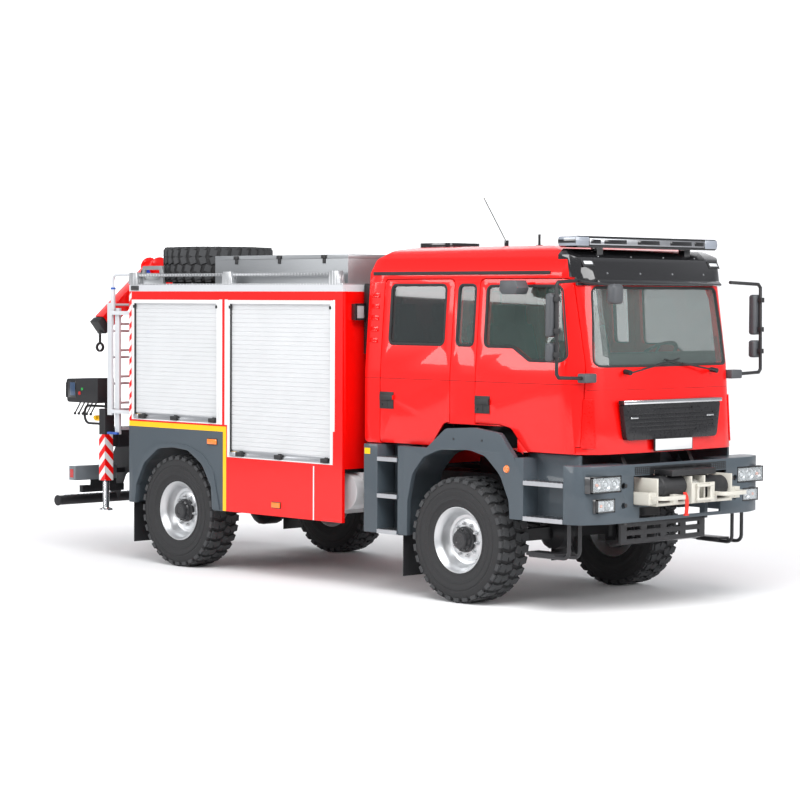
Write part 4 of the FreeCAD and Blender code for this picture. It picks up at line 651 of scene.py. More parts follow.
def rim_mesh(centre, axis):
    """Dished disc inside a deep rim, with studs round the hub."""
    mesh = bmesh.new()
    outer = 0.298
    profile = [(-0.145, 0.283), (-0.15, outer), (-0.14, outer), (-0.128, 0.27), (-0.06, 0.262), (0.04, 0.258),
               (0.092, 0.262), (0.118, 0.272), (0.134, 0.286), (0.15, outer), (0.158, outer), (0.158, 0.291),
               (0.142, 0.276), (0.122, 0.256), (0.088, 0.247), (0.058, 0.238), (0.036, 0.222), (0.03, 0.196),
               (0.044, 0.176), (0.05, 0.15), (0.05, 0.118), (0.0, 0.116), (-0.145, 0.283)]
    lathe(mesh, profile, centre, axis, 56)
    axis = Vector(axis).normalized()
    for foot in round_hub(centre, axis, 0.146):
        for start, end, radius, steps in ((0.045, 0.052, 0.021, 16), (0.05, 0.074, 0.015, 6),
                                          (0.074, 0.09, 0.0085, 8)):
            barrel(mesh, foot + axis * start, foot + axis * end, radius, steps)
    valve = round_hub(centre, axis, 0.236)[0]
    barrel(mesh, valve + axis * 0.05, valve + axis * 0.105, 0.006, 8)
    return mesh


def hub_mesh(centre, axis, reach):
    mesh = bmesh.new()
    profile = [(0.0, 0.0), (0.0, 0.117), (reach * 0.5, 0.117), (reach * 0.56, 0.104), (reach * 0.72, 0.1),
               (reach * 0.76, 0.088), (reach * 0.94, 0.082), (reach, 0.07), (reach, 0.04),
               (reach * 0.96, 0.034), (reach * 0.96, 0.0)]
    lathe(mesh, profile, centre, axis, 40)
    axis = Vector(axis).normalized()
    for foot in round_hub(centre, axis, 0.095, shift=0.5):
        barrel(mesh, foot + axis * reach * 0.7, foot + axis * (reach * 0.72 + 0.012), 0.008, 6)
    return mesh


print("rim and hub shapes ready")

# %% All the wheels
def wheel(name, node, body, centre, axis, hub=None):
    """All the pieces of one wheel, in place of its solid."""
    tyre = finish("tyre_" + name, tyre_mesh(centre, axis), rubber, 0.0, 40, body=body, slot="tyre")
    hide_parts(node)
    finish("tread_" + name, tread_mesh(centre, axis), tread_rubber, 0.0, 30, body=body, slot="tyre")
    finish("rim_" + name, rim_mesh(centre, axis), rim_material, 0.0, 32, body=body)
    if hub:
        finish("hub_" + name, hub_mesh(centre, axis, hub), hub_material, 0.0, 32, body=body)


wheel_bodies = [("wheel_%s_%s" % (row, side), sign) for row in ("front", "rear") for side, sign in sides()]
for node, sign in wheel_bodies:
    centre = middle(node)
    centre.x = sign * wheel_centre
    wheel(node[6:], node, node, centre, (sign, 0, 0), 0.15)
wheel("spare", "spare_wheel", "chassis", middle("spare_wheel"), (0, 0, 1))
print("wheels:", len(wheel_bodies) + 1)

# %% [markdown]
# ## Roller shutters
# Each curtain is a row of hollow aluminium slats, about 43 mm pitch, that rolls up behind the locker's
# head. A strip with one raised rib per slat is pushed across the opening, in place of the solid.
# Loose slats that follow a roll would be truer, but that is a chain of many joints for a closed locker.

# %% The curtains
shutter_white = paint("shutter_slats", rgb(0.6, 0.61, 0.62), 0.3, 0.4, 0.05)
for side, sign in sides():
    for row, travel in (("front", 1.4), ("rear", 1.09)):
        node = "shutter_curtain_%s_%s" % (row, side)
        low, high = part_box(node)
        face = high.x if sign > 0 else low.x
        back = low.x if sign > 0 else high.x
        count = round((high.z - low.z) / 0.043)
        pitch = (high.z - low.z) / count
        groove = face - sign * 0.004
        outline = [(back, low.z)]
        for i in range(count):
            z = low.z + i * pitch
            outline += [(groove, z), (groove, z + pitch * 0.07), (face, z + pitch * 0.16),
                        (face, z + pitch * 0.9)]
        outline += [(groove, high.z), (back, high.z)]
        mesh = bmesh.new()
        prism(mesh, outline, "y", low.y, high.y)
        curtain = finish("slats_%s_%s" % (row, side), mesh, shutter_white, 0.0, 30,
                         body="shutter_%s_%s" % (row, side), slot="aluminium")
        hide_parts(node)
        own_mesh(curtain)
print("four slatted curtains")

# %% Seals and corner clips of the shutters
for side, sign in sides():
    mesh = bmesh.new()
    for row in ("front", "rear"):
        low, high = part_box("shutter_bar_%s_%s" % (row, side))
        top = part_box("shutter_curtain_%s_%s" % (row, side))[1].z
        out = sign * 1.2505
        for y, step in ((low.y, 1), (high.y, -1)):
            block(mesh, (sign * 1.232, y + step * 0.022, low.z), (out, y + step * 0.03, top - 0.03))
            block(mesh, (sign * 1.24, y + step * 0.01, top - 0.075),
                  (sign * 1.2575, y + step * 0.042, top - 0.045))
    finish("shutter_seals_" + side, mesh, rubber, 0.001)
print("shutter seals")

# %% [markdown]
# ## Window gaskets
# Each pane is held in black rubber that stands slightly proud of the panel. The gasket follows the
# pane's own edge: the outer face's boundary is taken from a merged copy of the pane and swept with a
# round section.
# A bead drawn by hand would miss the pane's corners.

# %% Gaskets
def gasket(node, outward, body, radius=0.014, lift=0.005):
    """A rubber bead along the edge of a pane's outer face."""
    mesh = bmesh.new()
    mesh.from_mesh(nodes[node].data)
    bmesh.ops.remove_doubles(mesh, verts=mesh.verts, dist=0.0003)
    outward = Vector(outward)
    inner = [f for f in mesh.faces if f.normal.dot(outward) < 0.55]
    bmesh.ops.delete(mesh, geom=inner, context="FACES")
    rims = [e for e in mesh.edges if e.is_boundary]
    loops = []
    while rims:
        edge = rims.pop()
        chain = [edge.verts[0], edge.verts[1]]
        grown = True
        while grown:
            grown = False
            for other in rims:
                if chain[-1] in other.verts:
                    chain.append(other.other_vert(chain[-1]))
                    rims.remove(other)
                    grown = True
                    break
        loops.append([v.co.copy() for v in chain[:-1]])
    mesh.free()
    for number, points in enumerate(l for l in loops if len(l) > 3):
        curve = bpy.data.curves.new("gasket", "CURVE")
        curve.dimensions = "3D"
        curve.bevel_depth = radius
        curve.bevel_resolution = 1
        spline = curve.splines.new("POLY")
        spline.points.add(len(points) - 1)
        for point, place in zip(spline.points, points):
            point.co = (*(place + outward * lift), 1.0)
        spline.use_cyclic_u = True
        made = linked("gasket", curve)
        data = evaluated(made)
        bpy.data.objects.remove(made)
        dressed_object("gasket_%s_%d" % (node, number), data, body, rubber, 0.0, 50)


bpy.context.view_layer.update()
for side, sign in sides():
    for row in ("front", "rear"):
        gasket("%s_door_glass_%s" % (row, side), (sign, 0, 0), "%s_door_%s" % (row, side))
gasket("cab_glass", (0, -1, 0), "cab", 0.014, 0.003)
for side, sign in sides():
    gasket("cab_glass", (sign, 0, 0), "cab")
print("gaskets done")

# %% [markdown]
# ## Placing small parts
# Small parts are placed from the front axle in plan and from the ground upwards, and where a part sits
# on a curved panel, a ray finds the panel's surface. Typed places would leave a gap or sink the part
# wherever the panel bends.

# %% Places on the truck

trees = {}


def at(x, y, z):
    """A point given with its distance behind the front axle."""
    return Vector((x, y + axle_y, z))


def brick(mesh, low, high):
    """A block between two corners given from the front axle."""
    return block(mesh, at(*low), at(*high))


def tube(mesh, start, end, radius, sides=16, radius_end=None):
    return barrel(mesh, at(*start), at(*end), radius, sides, radius_end)


def touch(node, start, direction):
    """Where a ray meets a solid, and the way the surface faces."""
    if node not in trees:
        shape = bmesh.new()
        shape.from_mesh(nodes[node].data)
        trees[node] = BVHTree.FromBMesh(shape)
        shape.free()
    return trees[node].ray_cast(at(*start), Vector(direction))[:2]


def hits(node, starts, direction):
    """The places where rays from several points meet a solid."""
    for start in starts:
        point, normal = touch(node, start, direction)
        if point:
            yield point, normal


def pad(mesh, point, normal, width, height, depth, up=(0, 0, 1)):
    """A small block lying on a surface, its height along up."""
    normal = normal.normalized()
    up = (Vector(up) - normal * normal.dot(Vector(up))).normalized()
    side = up.cross(normal)
    turn = Matrix((side, up, normal)).transposed().to_4x4()
    place = Matrix.Translation(point) @ turn @ Matrix.Diagonal((width, height, depth, 1.0))
    return bmesh.ops.create_cube(mesh, size=1.0, matrix=place)["verts"]


def disc(mesh, point, normal, radius, depth, sides=24, radius_end=None):
    normal = normal.normalized()
    return barrel(mesh, point - normal * 0.002, point + normal * depth, radius, sides, radius_end)


print("placing tools ready")

# %% [markdown]
# ## Cab trim
# Black gutter, the louvres behind the rear doors, square door handles, wipers, chrome strips of the
# grille, the blank number plate, and the screws and slot lamps of the sun visor.
# At this size each is a block or a disc with a softened edge, and rays set those on curved panels.

# %% Gutter, louvres and handles
for side, sign in sides():
    mesh = bmesh.new()
    for start in (-0.95, -0.4, 0.15, 0.7):
        a, _ = touch("cab_shell", (sign * 2.0, start + 0.02, 2.952), (-sign, 0, 0))
        b, _ = touch("cab_shell", (sign * 2.0, start + 0.53, 2.952), (-sign, 0, 0))
        if a and b:
            pad(mesh, (a + b) / 2 + Vector((sign * 0.004, 0, 0)), Vector((sign, 0, 0)), 0.552, 0.03, 0.022)
    finish("gutter_" + side, mesh, rubber, 0.003, body="cab")
    mesh = bmesh.new()
    starts = [(sign * 2.0, 1.205, 2.76 - i * 0.105) for i in range(5)]
    for point, normal in hits("cab_shell", starts, (-sign, 0, 0)):
        pad(mesh, point, normal, 0.1, 0.03, 0.012)
        pad(mesh, point + normal * 0.005 + Vector((0, 0, -0.022)), normal, 0.1, 0.014, 0.022)
    finish("louvres_" + side, mesh, cab_red, 0.003, body="cab")
    for row, start in (("front", -0.302), ("rear", 0.918)):
        mesh = bmesh.new()
        face = sign * 1.1205
        brick(mesh, (face - sign * 0.004, start, 1.705), (face + sign * 0.006, start + 0.18, 1.86))
        brick(mesh, (face, start - 0.001, 1.786), (face + sign * 0.0235, start + 0.166, 1.836))
        brick(mesh, (face + sign * 0.006, start + 0.076, 1.712), (face + sign * 0.009, start + 0.084, 1.786))
        tube(mesh, (face, start + 0.15, 1.74), (face + sign * 0.012, start + 0.15, 1.74), 0.011, 16)
        finish("handle_%s_%s" % (row, side), mesh, black_plastic, 0.004, body="%s_door_%s" % (row, side))
print("gutters, louvres, handles")

# %% Front: wipers, grille strips and plate
half_blade = 0.27
meshes = defaultdict(bmesh.new)
for pivot, tip in (((-0.56, -1.452, 2.085), (-0.06, -1.425, 2.165)),
                   ((0.63, -1.452, 2.085), (0.17, -1.425, 2.16))):
    tube(meshes["wipers"], (pivot[0], pivot[1] + 0.07, pivot[2] + 0.01), pivot, 0.022, 16)
    tube(meshes["wipers"], pivot, tip, 0.008, 8, 0.006)
    along = (Vector(tip) - Vector(pivot)).normalized()
    blade = Vector(tip) - along * 0.05 + Vector((0, 0.014, 0))
    tube(meshes["wipers"], blade - along * half_blade, blade + along * half_blade, 0.007, 6)
brick(meshes["grille_chrome"], (-0.672, -1.4785, 1.813), (0.672, -1.47, 1.845))
for sign in (-1, 1):
    brick(meshes["grille_chrome"], (sign * 0.47, -1.4665, 1.686), (sign * 0.57, -1.46, 1.7))
brick(meshes["plate_frame"], (-0.262, -1.4775, 1.394), (0.262, -1.47, 1.508))
brick(meshes["blank_plate"], (-0.252, -1.4795, 1.402), (0.252, -1.474, 1.5))
print("wipers, grille strips and plate")

# %% Visor: screws and slot lamps
screws = [(x, -3.0, z) for z in (2.945, 3.095) for x in (-0.66, -0.22, 0.22, 0.66)]
for point, normal in hits("sun_visor", screws, (0, 1, 0)):
    disc(meshes["visor_screws"], point, normal, 0.009, 0.005, 10)
for point, normal in hits("sun_visor", [(-0.86, -3.0, 3.035), (0.86, -3.0, 3.035)], (0, 1, 0)):
    pad(meshes["visor_lamp_frames"], point, normal, 0.15, 0.072, 0.01)
    pad(meshes["visor_lamps"], point + normal * 0.004, normal, 0.11, 0.032, 0.008)
finish_all(meshes, {
    "wipers": (black_plastic,), "grille_chrome": (chrome, 0.002), "plate_frame": (black_plastic, 0.003),
    "blank_plate": (white_paint, 0.002), "visor_screws": (chrome,),
    "visor_lamp_frames": (black_plastic, 0.003), "visor_lamps": (lens_clear, 0.003)}, "cab")
print("visor")

# %% [markdown]
# ## Light bar
# A low silver bar with smoke-clear end caps and dark modules along its face.
# It could be sculpted, but boxes with wide bevels already read as one moulded housing.

# %% Light bar
meshes = defaultdict(bmesh.new)
brick(meshes["light_bar_body"], (-0.79, -1.1685, 3.192), (0.79, -0.9615, 3.252))
for sign in (-1, 1):
    brick(meshes["light_bar_caps"], (sign * 0.792, -1.1685, 3.18), (sign * 0.973, -0.9615, 3.264))
for start, length in ((-0.775, 0.13), (-0.6, 0.3), (-0.15, 0.3), (0.3, 0.3), (0.645, 0.13)):
    for front, back in ((-1.1715, -1.16), (-0.97, -0.9585)):
        brick(meshes["light_bar_modules"], (start, front, 3.203), (start + length, back, 3.241))
finish_all(meshes, {"light_bar_body": (aluminium, 0.008), "light_bar_caps": (lens_smoke, 0.012),
                    "light_bar_modules": (gloss_black, 0.004)}, "cab")
print("light bar")

# %% [markdown]
# ## Mirrors
# Moulded housings with generous corners on a bent tube, held by clamps, and mirror glass in the rear
# faces. The rounded forms take the place of the plain solid, on the same arms.
# A curve with a round section would bend more smoothly. Straight tubes with a ball in each knee keep
# their width and are easier to place.

# %% Mirrors
def bent_tube(mesh, points, radius, sides=14):
    """Straight lengths with round knees between them."""
    for a, b in zip(points[:-1], points[1:]):
        tube(mesh, a, b, radius, sides)
    for knee in points[1:-1]:
        bmesh.ops.create_uvsphere(mesh, u_segments=sides, v_segments=8, radius=radius * 1.02,
                                  matrix=Matrix.Translation(at(*knee)))


def rounded(name, corners, width):
    """A moulded case with generous corners, on the cab."""
    mesh = bmesh.new()
    for low, high in corners:
        brick(mesh, low, high)
    case = finish(name, mesh, mirror_grey, width, 60, body="cab")
    case.modifiers["Rounding"].segments = 4
    return case


mirror_parts = []
for side, sign in sides():
    arms = bmesh.new()
    bend = [(1.075, -1.345, 2.045), (1.375, -1.345, 2.055), (1.402, -1.345, 2.085), (1.402, -1.335, 2.835),
            (1.375, -1.33, 2.865), (1.04, -1.262, 2.88)]
    bent_tube(arms, [(sign * x, y, z) for x, y, z in bend], 0.0155)
    for z in (2.45, 2.72, 2.25):
        brick(arms, (sign * 1.377, -1.364, z - 0.022), (sign * 1.427, -1.3, z + 0.022))
    mirror_parts.append(finish("mirror_arms_" + side, arms, black_plastic, 0.002, 40, body="cab"))
    heights = ((2.4, 2.77), (2.19, 2.35))
    cases = [((sign * 1.335, -1.322, z0), (sign * 1.455, -1.247, z1)) for z0, z1 in heights]
    mirror_parts.append(rounded("mirror_housings_" + side, cases, 0.026))
    foot = bmesh.new()
    brick(foot, (sign * 0.927, -1.385, 2.005), (sign * 1.085, -1.295, 2.085))
    mirror_parts.append(finish("mirror_feet_" + side, foot, mirror_grey, 0.012, body="cab"))
    glass_mesh = bmesh.new()
    for z0, z1 in ((2.418, 2.752), (2.206, 2.334)):
        brick(glass_mesh, (sign * 1.353, -1.2485, z0), (sign * 1.437, -1.2455, z1))
    finish("mirror_glass_" + side, glass_mesh, chrome, body="cab")
arm = bmesh.new()
bent_tube(arm, [(-1.045, -1.275, 2.876), (-1.06, -1.33, 2.872), (-1.04, -1.64, 2.84)], 0.013)
mirror_parts.append(finish("front_mirror_arm", arm, black_plastic, 0.0, 40, body="cab"))
mirror_parts.append(rounded("front_mirror", [((-1.1, -1.715, 2.682), (-0.965, -1.622, 2.85))], 0.032))
for part in mirror_parts:
    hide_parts("mirrors")
kerb = bmesh.new()
outline = [(-0.803, 2.762), (-0.637, 2.762), (-0.607, 2.799), (-0.617, 2.883), (-0.793, 2.883),
           (-0.828, 2.82)]
prism(kerb, [(y + axle_y, z) for y, z in outline], "x", -1.1875, -1.3375)
finish("kerb_mirror", kerb, mirror_grey, 0.008, 60, body="front_door_right")
print("mirrors")

# %% [markdown]
# ## Head and fog lamps
# Round reflectors behind clear covers, with an amber indicator bulb in each head lamp.
# A bright disc would look painted on. A spun dish catches light from every side, so each reflector is one.

# %% Lamp units in the bumper
def reflector(mesh, x, z, radius, y):
    """A dished round reflector that faces forwards."""
    profile = [(0.006, radius), (0.01, radius * 0.94), (-0.004, radius * 0.82), (-0.02, radius * 0.5),
               (-0.024, 0.0), (-0.03, 0.0), (-0.03, radius), (0.006, radius)]
    lathe(mesh, profile, at(x, y, z), (0, -1, 0), 32)


def bulb(mesh, x, z, front, radius, tip, sides=16):
    tube(mesh, (x, -1.535, z), (x, front, z), radius, sides, tip)


meshes = defaultdict(bmesh.new)
rim = 0.01
for sign in (-1, 1):
    for x0, x1, z0, z1 in ((0.802, 1.178, 1.073, 1.212), (0.882, 1.108, 0.902, 1.018)):
        panel, cover = meshes["lamp_panels"], meshes["lamp_covers"]
        brick(panel, (sign * x0, -1.5405, z0), (sign * x1, -1.537, z1))
        for a, b, c, d in ((x0, z0, x1, z0 + rim), (x0, z1 - rim, x1, z1), (x0, z0, x0 + rim, z1),
                           (x1 - rim, z0, x1, z1)):
            brick(panel, (sign * a, -1.56, b), (sign * c, -1.537, d))
        brick(cover, (sign * (x0 + 0.011), -1.559, z0 + 0.011), (sign * (x1 - 0.011), -1.5565, z1 - 0.011))
    for x, z, radius in ((0.874, 1.142, 0.05), (0.99, 1.142, 0.054), (1.105, 1.142, 0.044),
                         (0.945, 0.96, 0.046)):
        reflector(meshes["reflectors"], sign * x, z, radius, -1.548)
    brick(meshes["reflectors"], (sign * 1.005, -1.544, 0.92), (sign * 1.092, -1.5395, 1.0))
    for x, radius in ((0.874, 0.05), (0.99, 0.054)):
        bulb(meshes["bulbs"], sign * x, 1.142, -1.553, radius * 0.4, radius * 0.28, 20)
    bulb(meshes["bulbs"], sign * 0.945, 0.96, -1.553, 0.017, 0.011, 20)
    bulb(meshes["indicator_bulbs"], sign * 1.105, 1.142, -1.554, 0.018, 0.012)
    x = sign * 1.048
    tube(meshes["indicator_bulbs"], (x, -1.541, 0.96), (x, -1.552, 0.96), 0.016, 16, 0.011)
finish_all(meshes, {"lamp_panels": (gloss_black,), "reflectors": (aluminium, 0.0, 50),
                    "bulbs": (lens_clear, 0.0, 40), "indicator_bulbs": (lens_amber, 0.0, 40),
                    "lamp_covers": (clear_cover,)})
print("head and fog lamps")

# %% [markdown]
# ## Bumper mesh and steps
# Bars close the slot in the bumper, teeth keep boots from slipping on the treads, and the fenders carry
# an amber lamp each. A pattern in the material would show no edge against the light, so the bars and teeth
# are thin blocks.

# %% Bumper mesh, cable holes, treads and fender lamps
meshes = defaultdict(bmesh.new)
grid = meshes["bumper_mesh"]
for i in range(46):
    x = -0.62 + i * 0.0276
    brick(grid, (x - 0.003, -1.5625, 1.212), (x + 0.003, -1.5595, 1.276))
for z in (1.214, 1.229, 1.244, 1.259, 1.274):
    brick(grid, (-0.625, -1.5625, z - 0.003), (0.625, -1.5595, z + 0.003))
# The steps: height, then the tread's ends along the truck and across it.
treads = [(z, -1.27, -0.81, 1.04, 1.225) for z in (0.832, 1.142)]
treads += [(z, 0.765, 1.025, 1.03, 1.22) for z in (0.589, 0.919, 1.259)]
teeth = 9
for sign in (1, -1):
    for point, _ in hits("front_bumper", [(sign * 0.74, -3.0, z) for z in (1.12, 0.95)], (0, 1, 0)):
        disc(meshes["bumper_holes"], point, Vector((0, -1, 0)), 0.018, 0.001, 20)
    inwards = (-sign, 0, 0)
    starts = [(sign * 2.0, y, 1.47) for y in (-0.62, -0.3, 0.05, 0.4)]
    for point, normal in hits("front_fenders", starts, inwards):
        disc(meshes["bumper_holes"], point, normal, 0.01, 0.004, 8)
    for z, y0, y1, x0, x1 in treads:
        tread = meshes["step_treads"]
        brick(tread, (sign * x0, y0, z - 0.004), (sign * x1, y1, z))
        for i in range(teeth):
            y = y0 + (y1 - y0) * (i + 0.5) / teeth
            brick(tread, (sign * (x0 + 0.01), y - 0.006, z), (sign * (x1 - 0.004), y + 0.006, z + 0.007))
        brick(tread, (sign * x1, y0, z - 0.034), (sign * (x1 + 0.006), y1, z + 0.004))
    for point, normal in hits("front_fenders", [(sign * 2.0, -0.6, 1.235)], inwards):
        disc(meshes["fender_lamps"], point, normal, 0.036, 0.012, 24, 0.028)
    for point, normal in hits("front_fenders", [(sign * 2.0, 1.165, 1.31)], inwards):
        pad(meshes["column_tags"], point, normal, 0.075, 0.055, 0.003)
finish_all(meshes, {
    "bumper_mesh": (black_plastic,), "bumper_holes": (black_plastic,), "step_treads": (aluminium,),
    "fender_lamps": (lens_amber,), "column_tags": (tag_yellow,)})
print("bumper, steps and fender lamps")

# %% [markdown]
# ## Winch
# White rope wound on the drum, a black motor and control box, and the red towing strap that hangs from
# the fairlead.
# Rope lies on a drum in tight turns. A long spiral would be truer, but the turns are so close that one
# ring for each looks the same. The strap hangs straight, so a few flat lengths do without a simulation.

# %% Winch parts
low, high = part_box("winch")
winch_middle = (low.y + high.y) / 2 - axle_y
rope_height, motor_height = 1.07, 1.096
meshes = defaultdict(bmesh.new)
ring = [(-0.0074, 0.06), (-0.006, 0.07), (0.0, 0.0755), (0.006, 0.07), (0.0074, 0.06), (-0.0074, 0.06)]
for i in range(11):
    lathe(meshes["winch_rope"], ring, at(-0.034 + i * 0.0148, winch_middle, rope_height), (1, 0, 0), 28)
motor = meshes["winch_motor"]
profile = [(0.0, 0.0), (0.0, 0.086), (0.008, 0.092), (0.3, 0.092), (0.31, 0.083), (0.4, 0.083), (0.41, 0.066),
           (0.425, 0.0)]
lathe(motor, profile, at(-0.085, winch_middle, motor_height), (-1, 0, 0), 32)
for i in range(6):
    turn = math.tau * i / 6
    y, z = winch_middle + 0.086 * math.cos(turn), motor_height + 0.086 * math.sin(turn)
    tube(motor, (-0.1, y, z), (-0.385, y, z), 0.007, 8)
brick(motor, (-0.302, winch_middle - 0.097, 1.1895), (0.302, winch_middle + 0.097, 1.2405))
profile = [(0.0, 0.0), (0.0, 0.1), (0.012, 0.104), (0.2, 0.104), (0.215, 0.094), (0.34, 0.094), (0.352, 0.08),
           (0.352, 0.0)]
lathe(meshes["winch_gear"], profile, at(0.142, winch_middle, rope_height), (1, 0, 0), 32)
finish_all(meshes, {"winch_rope": (rope_white, 0.0, 60), "winch_motor": (black_plastic, 0.003),
                    "winch_gear": (black_plastic,)})
print("winch rope, motor and gear")

# %% The towing strap
strap_x, strap_width, strap_thick = -0.17, 0.046, 0.006
strap_points = [Vector((strap_x, y, z)) for y, z in
                ((-1.742, 1.045), (-1.762, 1.01), (-1.768, 0.96), (-1.766, 0.905), (-1.76, 0.86))]
mesh = bmesh.new()
for a, b in zip(strap_points[:-1], strap_points[1:]):
    run = b - a
    place = Matrix.Translation(at(*((a + b) / 2))) @ run.to_track_quat("Z", "X").to_matrix().to_4x4()
    size = Matrix.Diagonal((strap_thick, strap_width, run.length + 0.004, 1.0))
    bmesh.ops.create_cube(mesh, size=1.0, matrix=place @ size)
brick(mesh, (strap_x - 0.026, -1.77, 0.845), (strap_x + 0.026, -1.75, 0.862))
finish("towing_strap", mesh, strap_red, 0.001)
print("towing strap")

# %% [markdown]
# ## Body sides and roof
# Latch feet and yellow pull tags of the shutters, latches of the roof boxes, and black frames round the
# work lamps and the amber markers.
# Along the truck and upwards they are placed from the box of the bar or lid they sit on, so they follow
# when that one is made longer or set higher. The frames sit at fixed places.

# %% Shutter latches, tags, frames of the work lamps
shutter_face = 1.2295
for side, sign in sides():
    for row in ("front", "rear"):
        name = "%s_%s" % (row, side)
        low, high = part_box("shutter_bar_" + name)
        meshes = defaultdict(bmesh.new)
        latch = meshes["latches_" + name]
        for share in (0.06, 0.5, 0.88):
            y = low.y + (high.y - low.y) * share
            block(latch, (sign * shutter_face, y - 0.047, low.z + 0.005),
                  (sign * 1.2755, y + 0.047, low.z + 0.046))
            block(latch, (sign * shutter_face, y - 0.02, low.z + 0.04),
                  (sign * 1.245, y + 0.02, low.z + 0.056))
        block(meshes["tag_" + name], (sign * 1.2298, high.y - 0.105, low.z + 0.006),
              (sign * 1.2325, high.y - 0.025, low.z + 0.046))
        finish_all(meshes, {"latches_" + name: (black_plastic, 0.003), "tag_" + name: (tag_yellow, 0.001)},
                   "shutter_" + name)
    low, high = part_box("roof_box_lid_" + side)
    mesh = bmesh.new()
    for i in range(3):
        y = low.y + (high.y - low.y) * (0.17 + 0.33 * i)
        block(mesh, (sign * 1.0995, y - 0.032, low.z + 0.001), (sign * 1.1165, y + 0.032, high.z - 0.005))
        block(mesh, (sign * 1.0995, y - 0.02, low.z - 0.045), (sign * 1.108, y + 0.02, low.z + 0.004))
    finish("box_latches_" + side, mesh, black_plastic, 0.003, body="roof_box_lid_" + side)
    mesh = bmesh.new()
    for x0, x1, z0, z1 in ((1.018, 1.142, 2.518, 2.536), (1.018, 1.142, 2.654, 2.672),
                           (1.018, 1.036, 2.518, 2.672), (1.124, 1.142, 2.518, 2.672)):
        brick(mesh, (sign * x0, 1.405, z0), (sign * x1, 1.42, z1))
    for y0, y1, z0, z1 in ((3.284, 3.436, 1.264, 1.326), (2.334, 2.466, 0.694, 0.756)):
        brick(mesh, (sign * 1.246, y0, z0), (sign * 1.2555, y1, z1))
    finish("lamp_frames_" + side, mesh, black_plastic, 0.002)
print("latches and lamp frames")

# %% [markdown]
# ## Rear
# Lenses of the rear lamps, caps of the underrun tube and the ladder, striped sleeves of the
# stabilisers, the crane's console and its work lamp.
# Each lens is a short cone, a little narrower at its face, because a straight disc hides its depth.
# The striped sleeves are thin sheets round the legs, so the stripes need no picture either.

# %% Rear lamps and caps
meshes = defaultdict(bmesh.new)
lamp_face = 5.815
ladder_rails = (-1.15, -0.78)
spots = ((0.72, "rear_lamps_red"), (0.85, "rear_lamps_red"), (0.985, "rear_lamps_amber"),
         (1.115, "rear_lamps_clear"))
for side, sign in sides():
    brick(meshes["rear_lamp_frames"], (sign * 0.645, lamp_face - 0.01, 0.775),
          (sign * 1.19, lamp_face + 0.004, 0.92))
    for x, name in spots:
        end = (sign * x, lamp_face + 0.014, 0.848)
        tube(meshes[name], (sign * x, lamp_face, 0.848), end, 0.054, 28, 0.048)
    brick(meshes["rear_lamps_red"], (sign * 1.192, 5.735, 0.8), (sign * 1.199, 5.79, 0.89))
    tube(meshes["underrun_caps"], (sign * 1.195, 6.0, 0.54), (sign * 1.2135, 6.0, 0.54), 0.058, 24)
    for x in (0.12 + i * 0.085 for i in range(12)):
        brick(meshes["underrun_tread"], (sign * x, 5.972, 0.588), (sign * (x + 0.045), 6.028, 0.5975))
for y in (5.145, 5.06):
    for x in ladder_rails:
        brick(meshes["ladder_caps"], (x - 0.016, y - 0.04, 1.2895), (x + 0.016, y + 0.04, 1.312))
for x in ladder_rails:
    tube(meshes["ladder_caps"], (x, 5.1, 2.806), (x, 5.1, 2.826), 0.027, 20)
finish_all(meshes, {
    "rear_lamp_frames": (black_plastic, 0.003), "rear_lamps_red": (lens_red,),
    "rear_lamps_amber": (lens_amber,), "rear_lamps_clear": (lens_clear,),
    "underrun_caps": (black_plastic, 0.003), "underrun_tread": (aluminium,),
    "ladder_caps": (cap_blue, 0.002)})
print("rear lamps and caps")

# %% Stabiliser sleeves
for side, sign in sides():
    beam = "stabiliser_beam_" + side
    low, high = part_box("stabiliser_leg_" + side)
    x = sign * 1.105
    y = (low.y + high.y) / 2
    half = 0.054
    mesh = bmesh.new()
    for step in (-1, 1):
        near, far = step * half, step * (half - 0.002)
        block(mesh, (x - half, y + near, 0.795), (x + half, y + far, 1.28))
        block(mesh, (x + near, y - half, 0.795), (x + far, y + half, 1.28))
    finish("sleeve_stripes_" + side, mesh, hazard_stripes, body=beam)
print("rear")

# %% The crane's console and lamp
console_side = -1.1102
levers = 5
meshes = defaultdict(bmesh.new)
brick(meshes["console_bezel"], (console_side - 0.003, 5.8, 1.65), (console_side + 0.02, 5.935, 1.83))
brick(meshes["console_screen"], (console_side - 0.0045, 5.815, 1.672), (console_side, 5.905, 1.812))
for name, y, z, radius in (("console_stop", 5.735, 1.7, 0.02), ("console_start", 5.69, 1.745, 0.016)):
    tube(meshes[name], (console_side + 0.01, y, z), (console_side - 0.0055, y, z), radius, 20)
for i in range(levers):
    knob = Matrix.Translation(at(-1.08, 5.58 + i * 0.07, 1.48))
    bmesh.ops.create_uvsphere(meshes["lever_knobs"], u_segments=12, v_segments=8, radius=0.016, matrix=knob)
for y in (5.46, 5.54, 5.62):
    tube(meshes["valve_block"], (-1.0, y, 1.44), (-0.88, y, 1.44), 0.024, 14)
brick(meshes["valve_block"], (-0.985, 5.44, 1.405), (-0.895, 5.64, 1.425))
finish_all(meshes, {
    "console_bezel": (gloss_black, 0.002), "console_screen": (screen_blue, 0.001),
    "console_stop": (lens_red,), "console_start": (lens_green,),
    "lever_knobs": (black_plastic, 0.0, 60), "valve_block": (tag_yellow, 0.003)})
meshes = defaultdict(bmesh.new)
tube(meshes["crane_lamp_case"], (-0.61, 5.262, 2.985), (-0.61, 5.23, 2.985), 0.048, 24, 0.06)
brick(meshes["crane_lamp_case"], (-0.62, 5.255, 2.93), (-0.6, 5.29, 3.0))
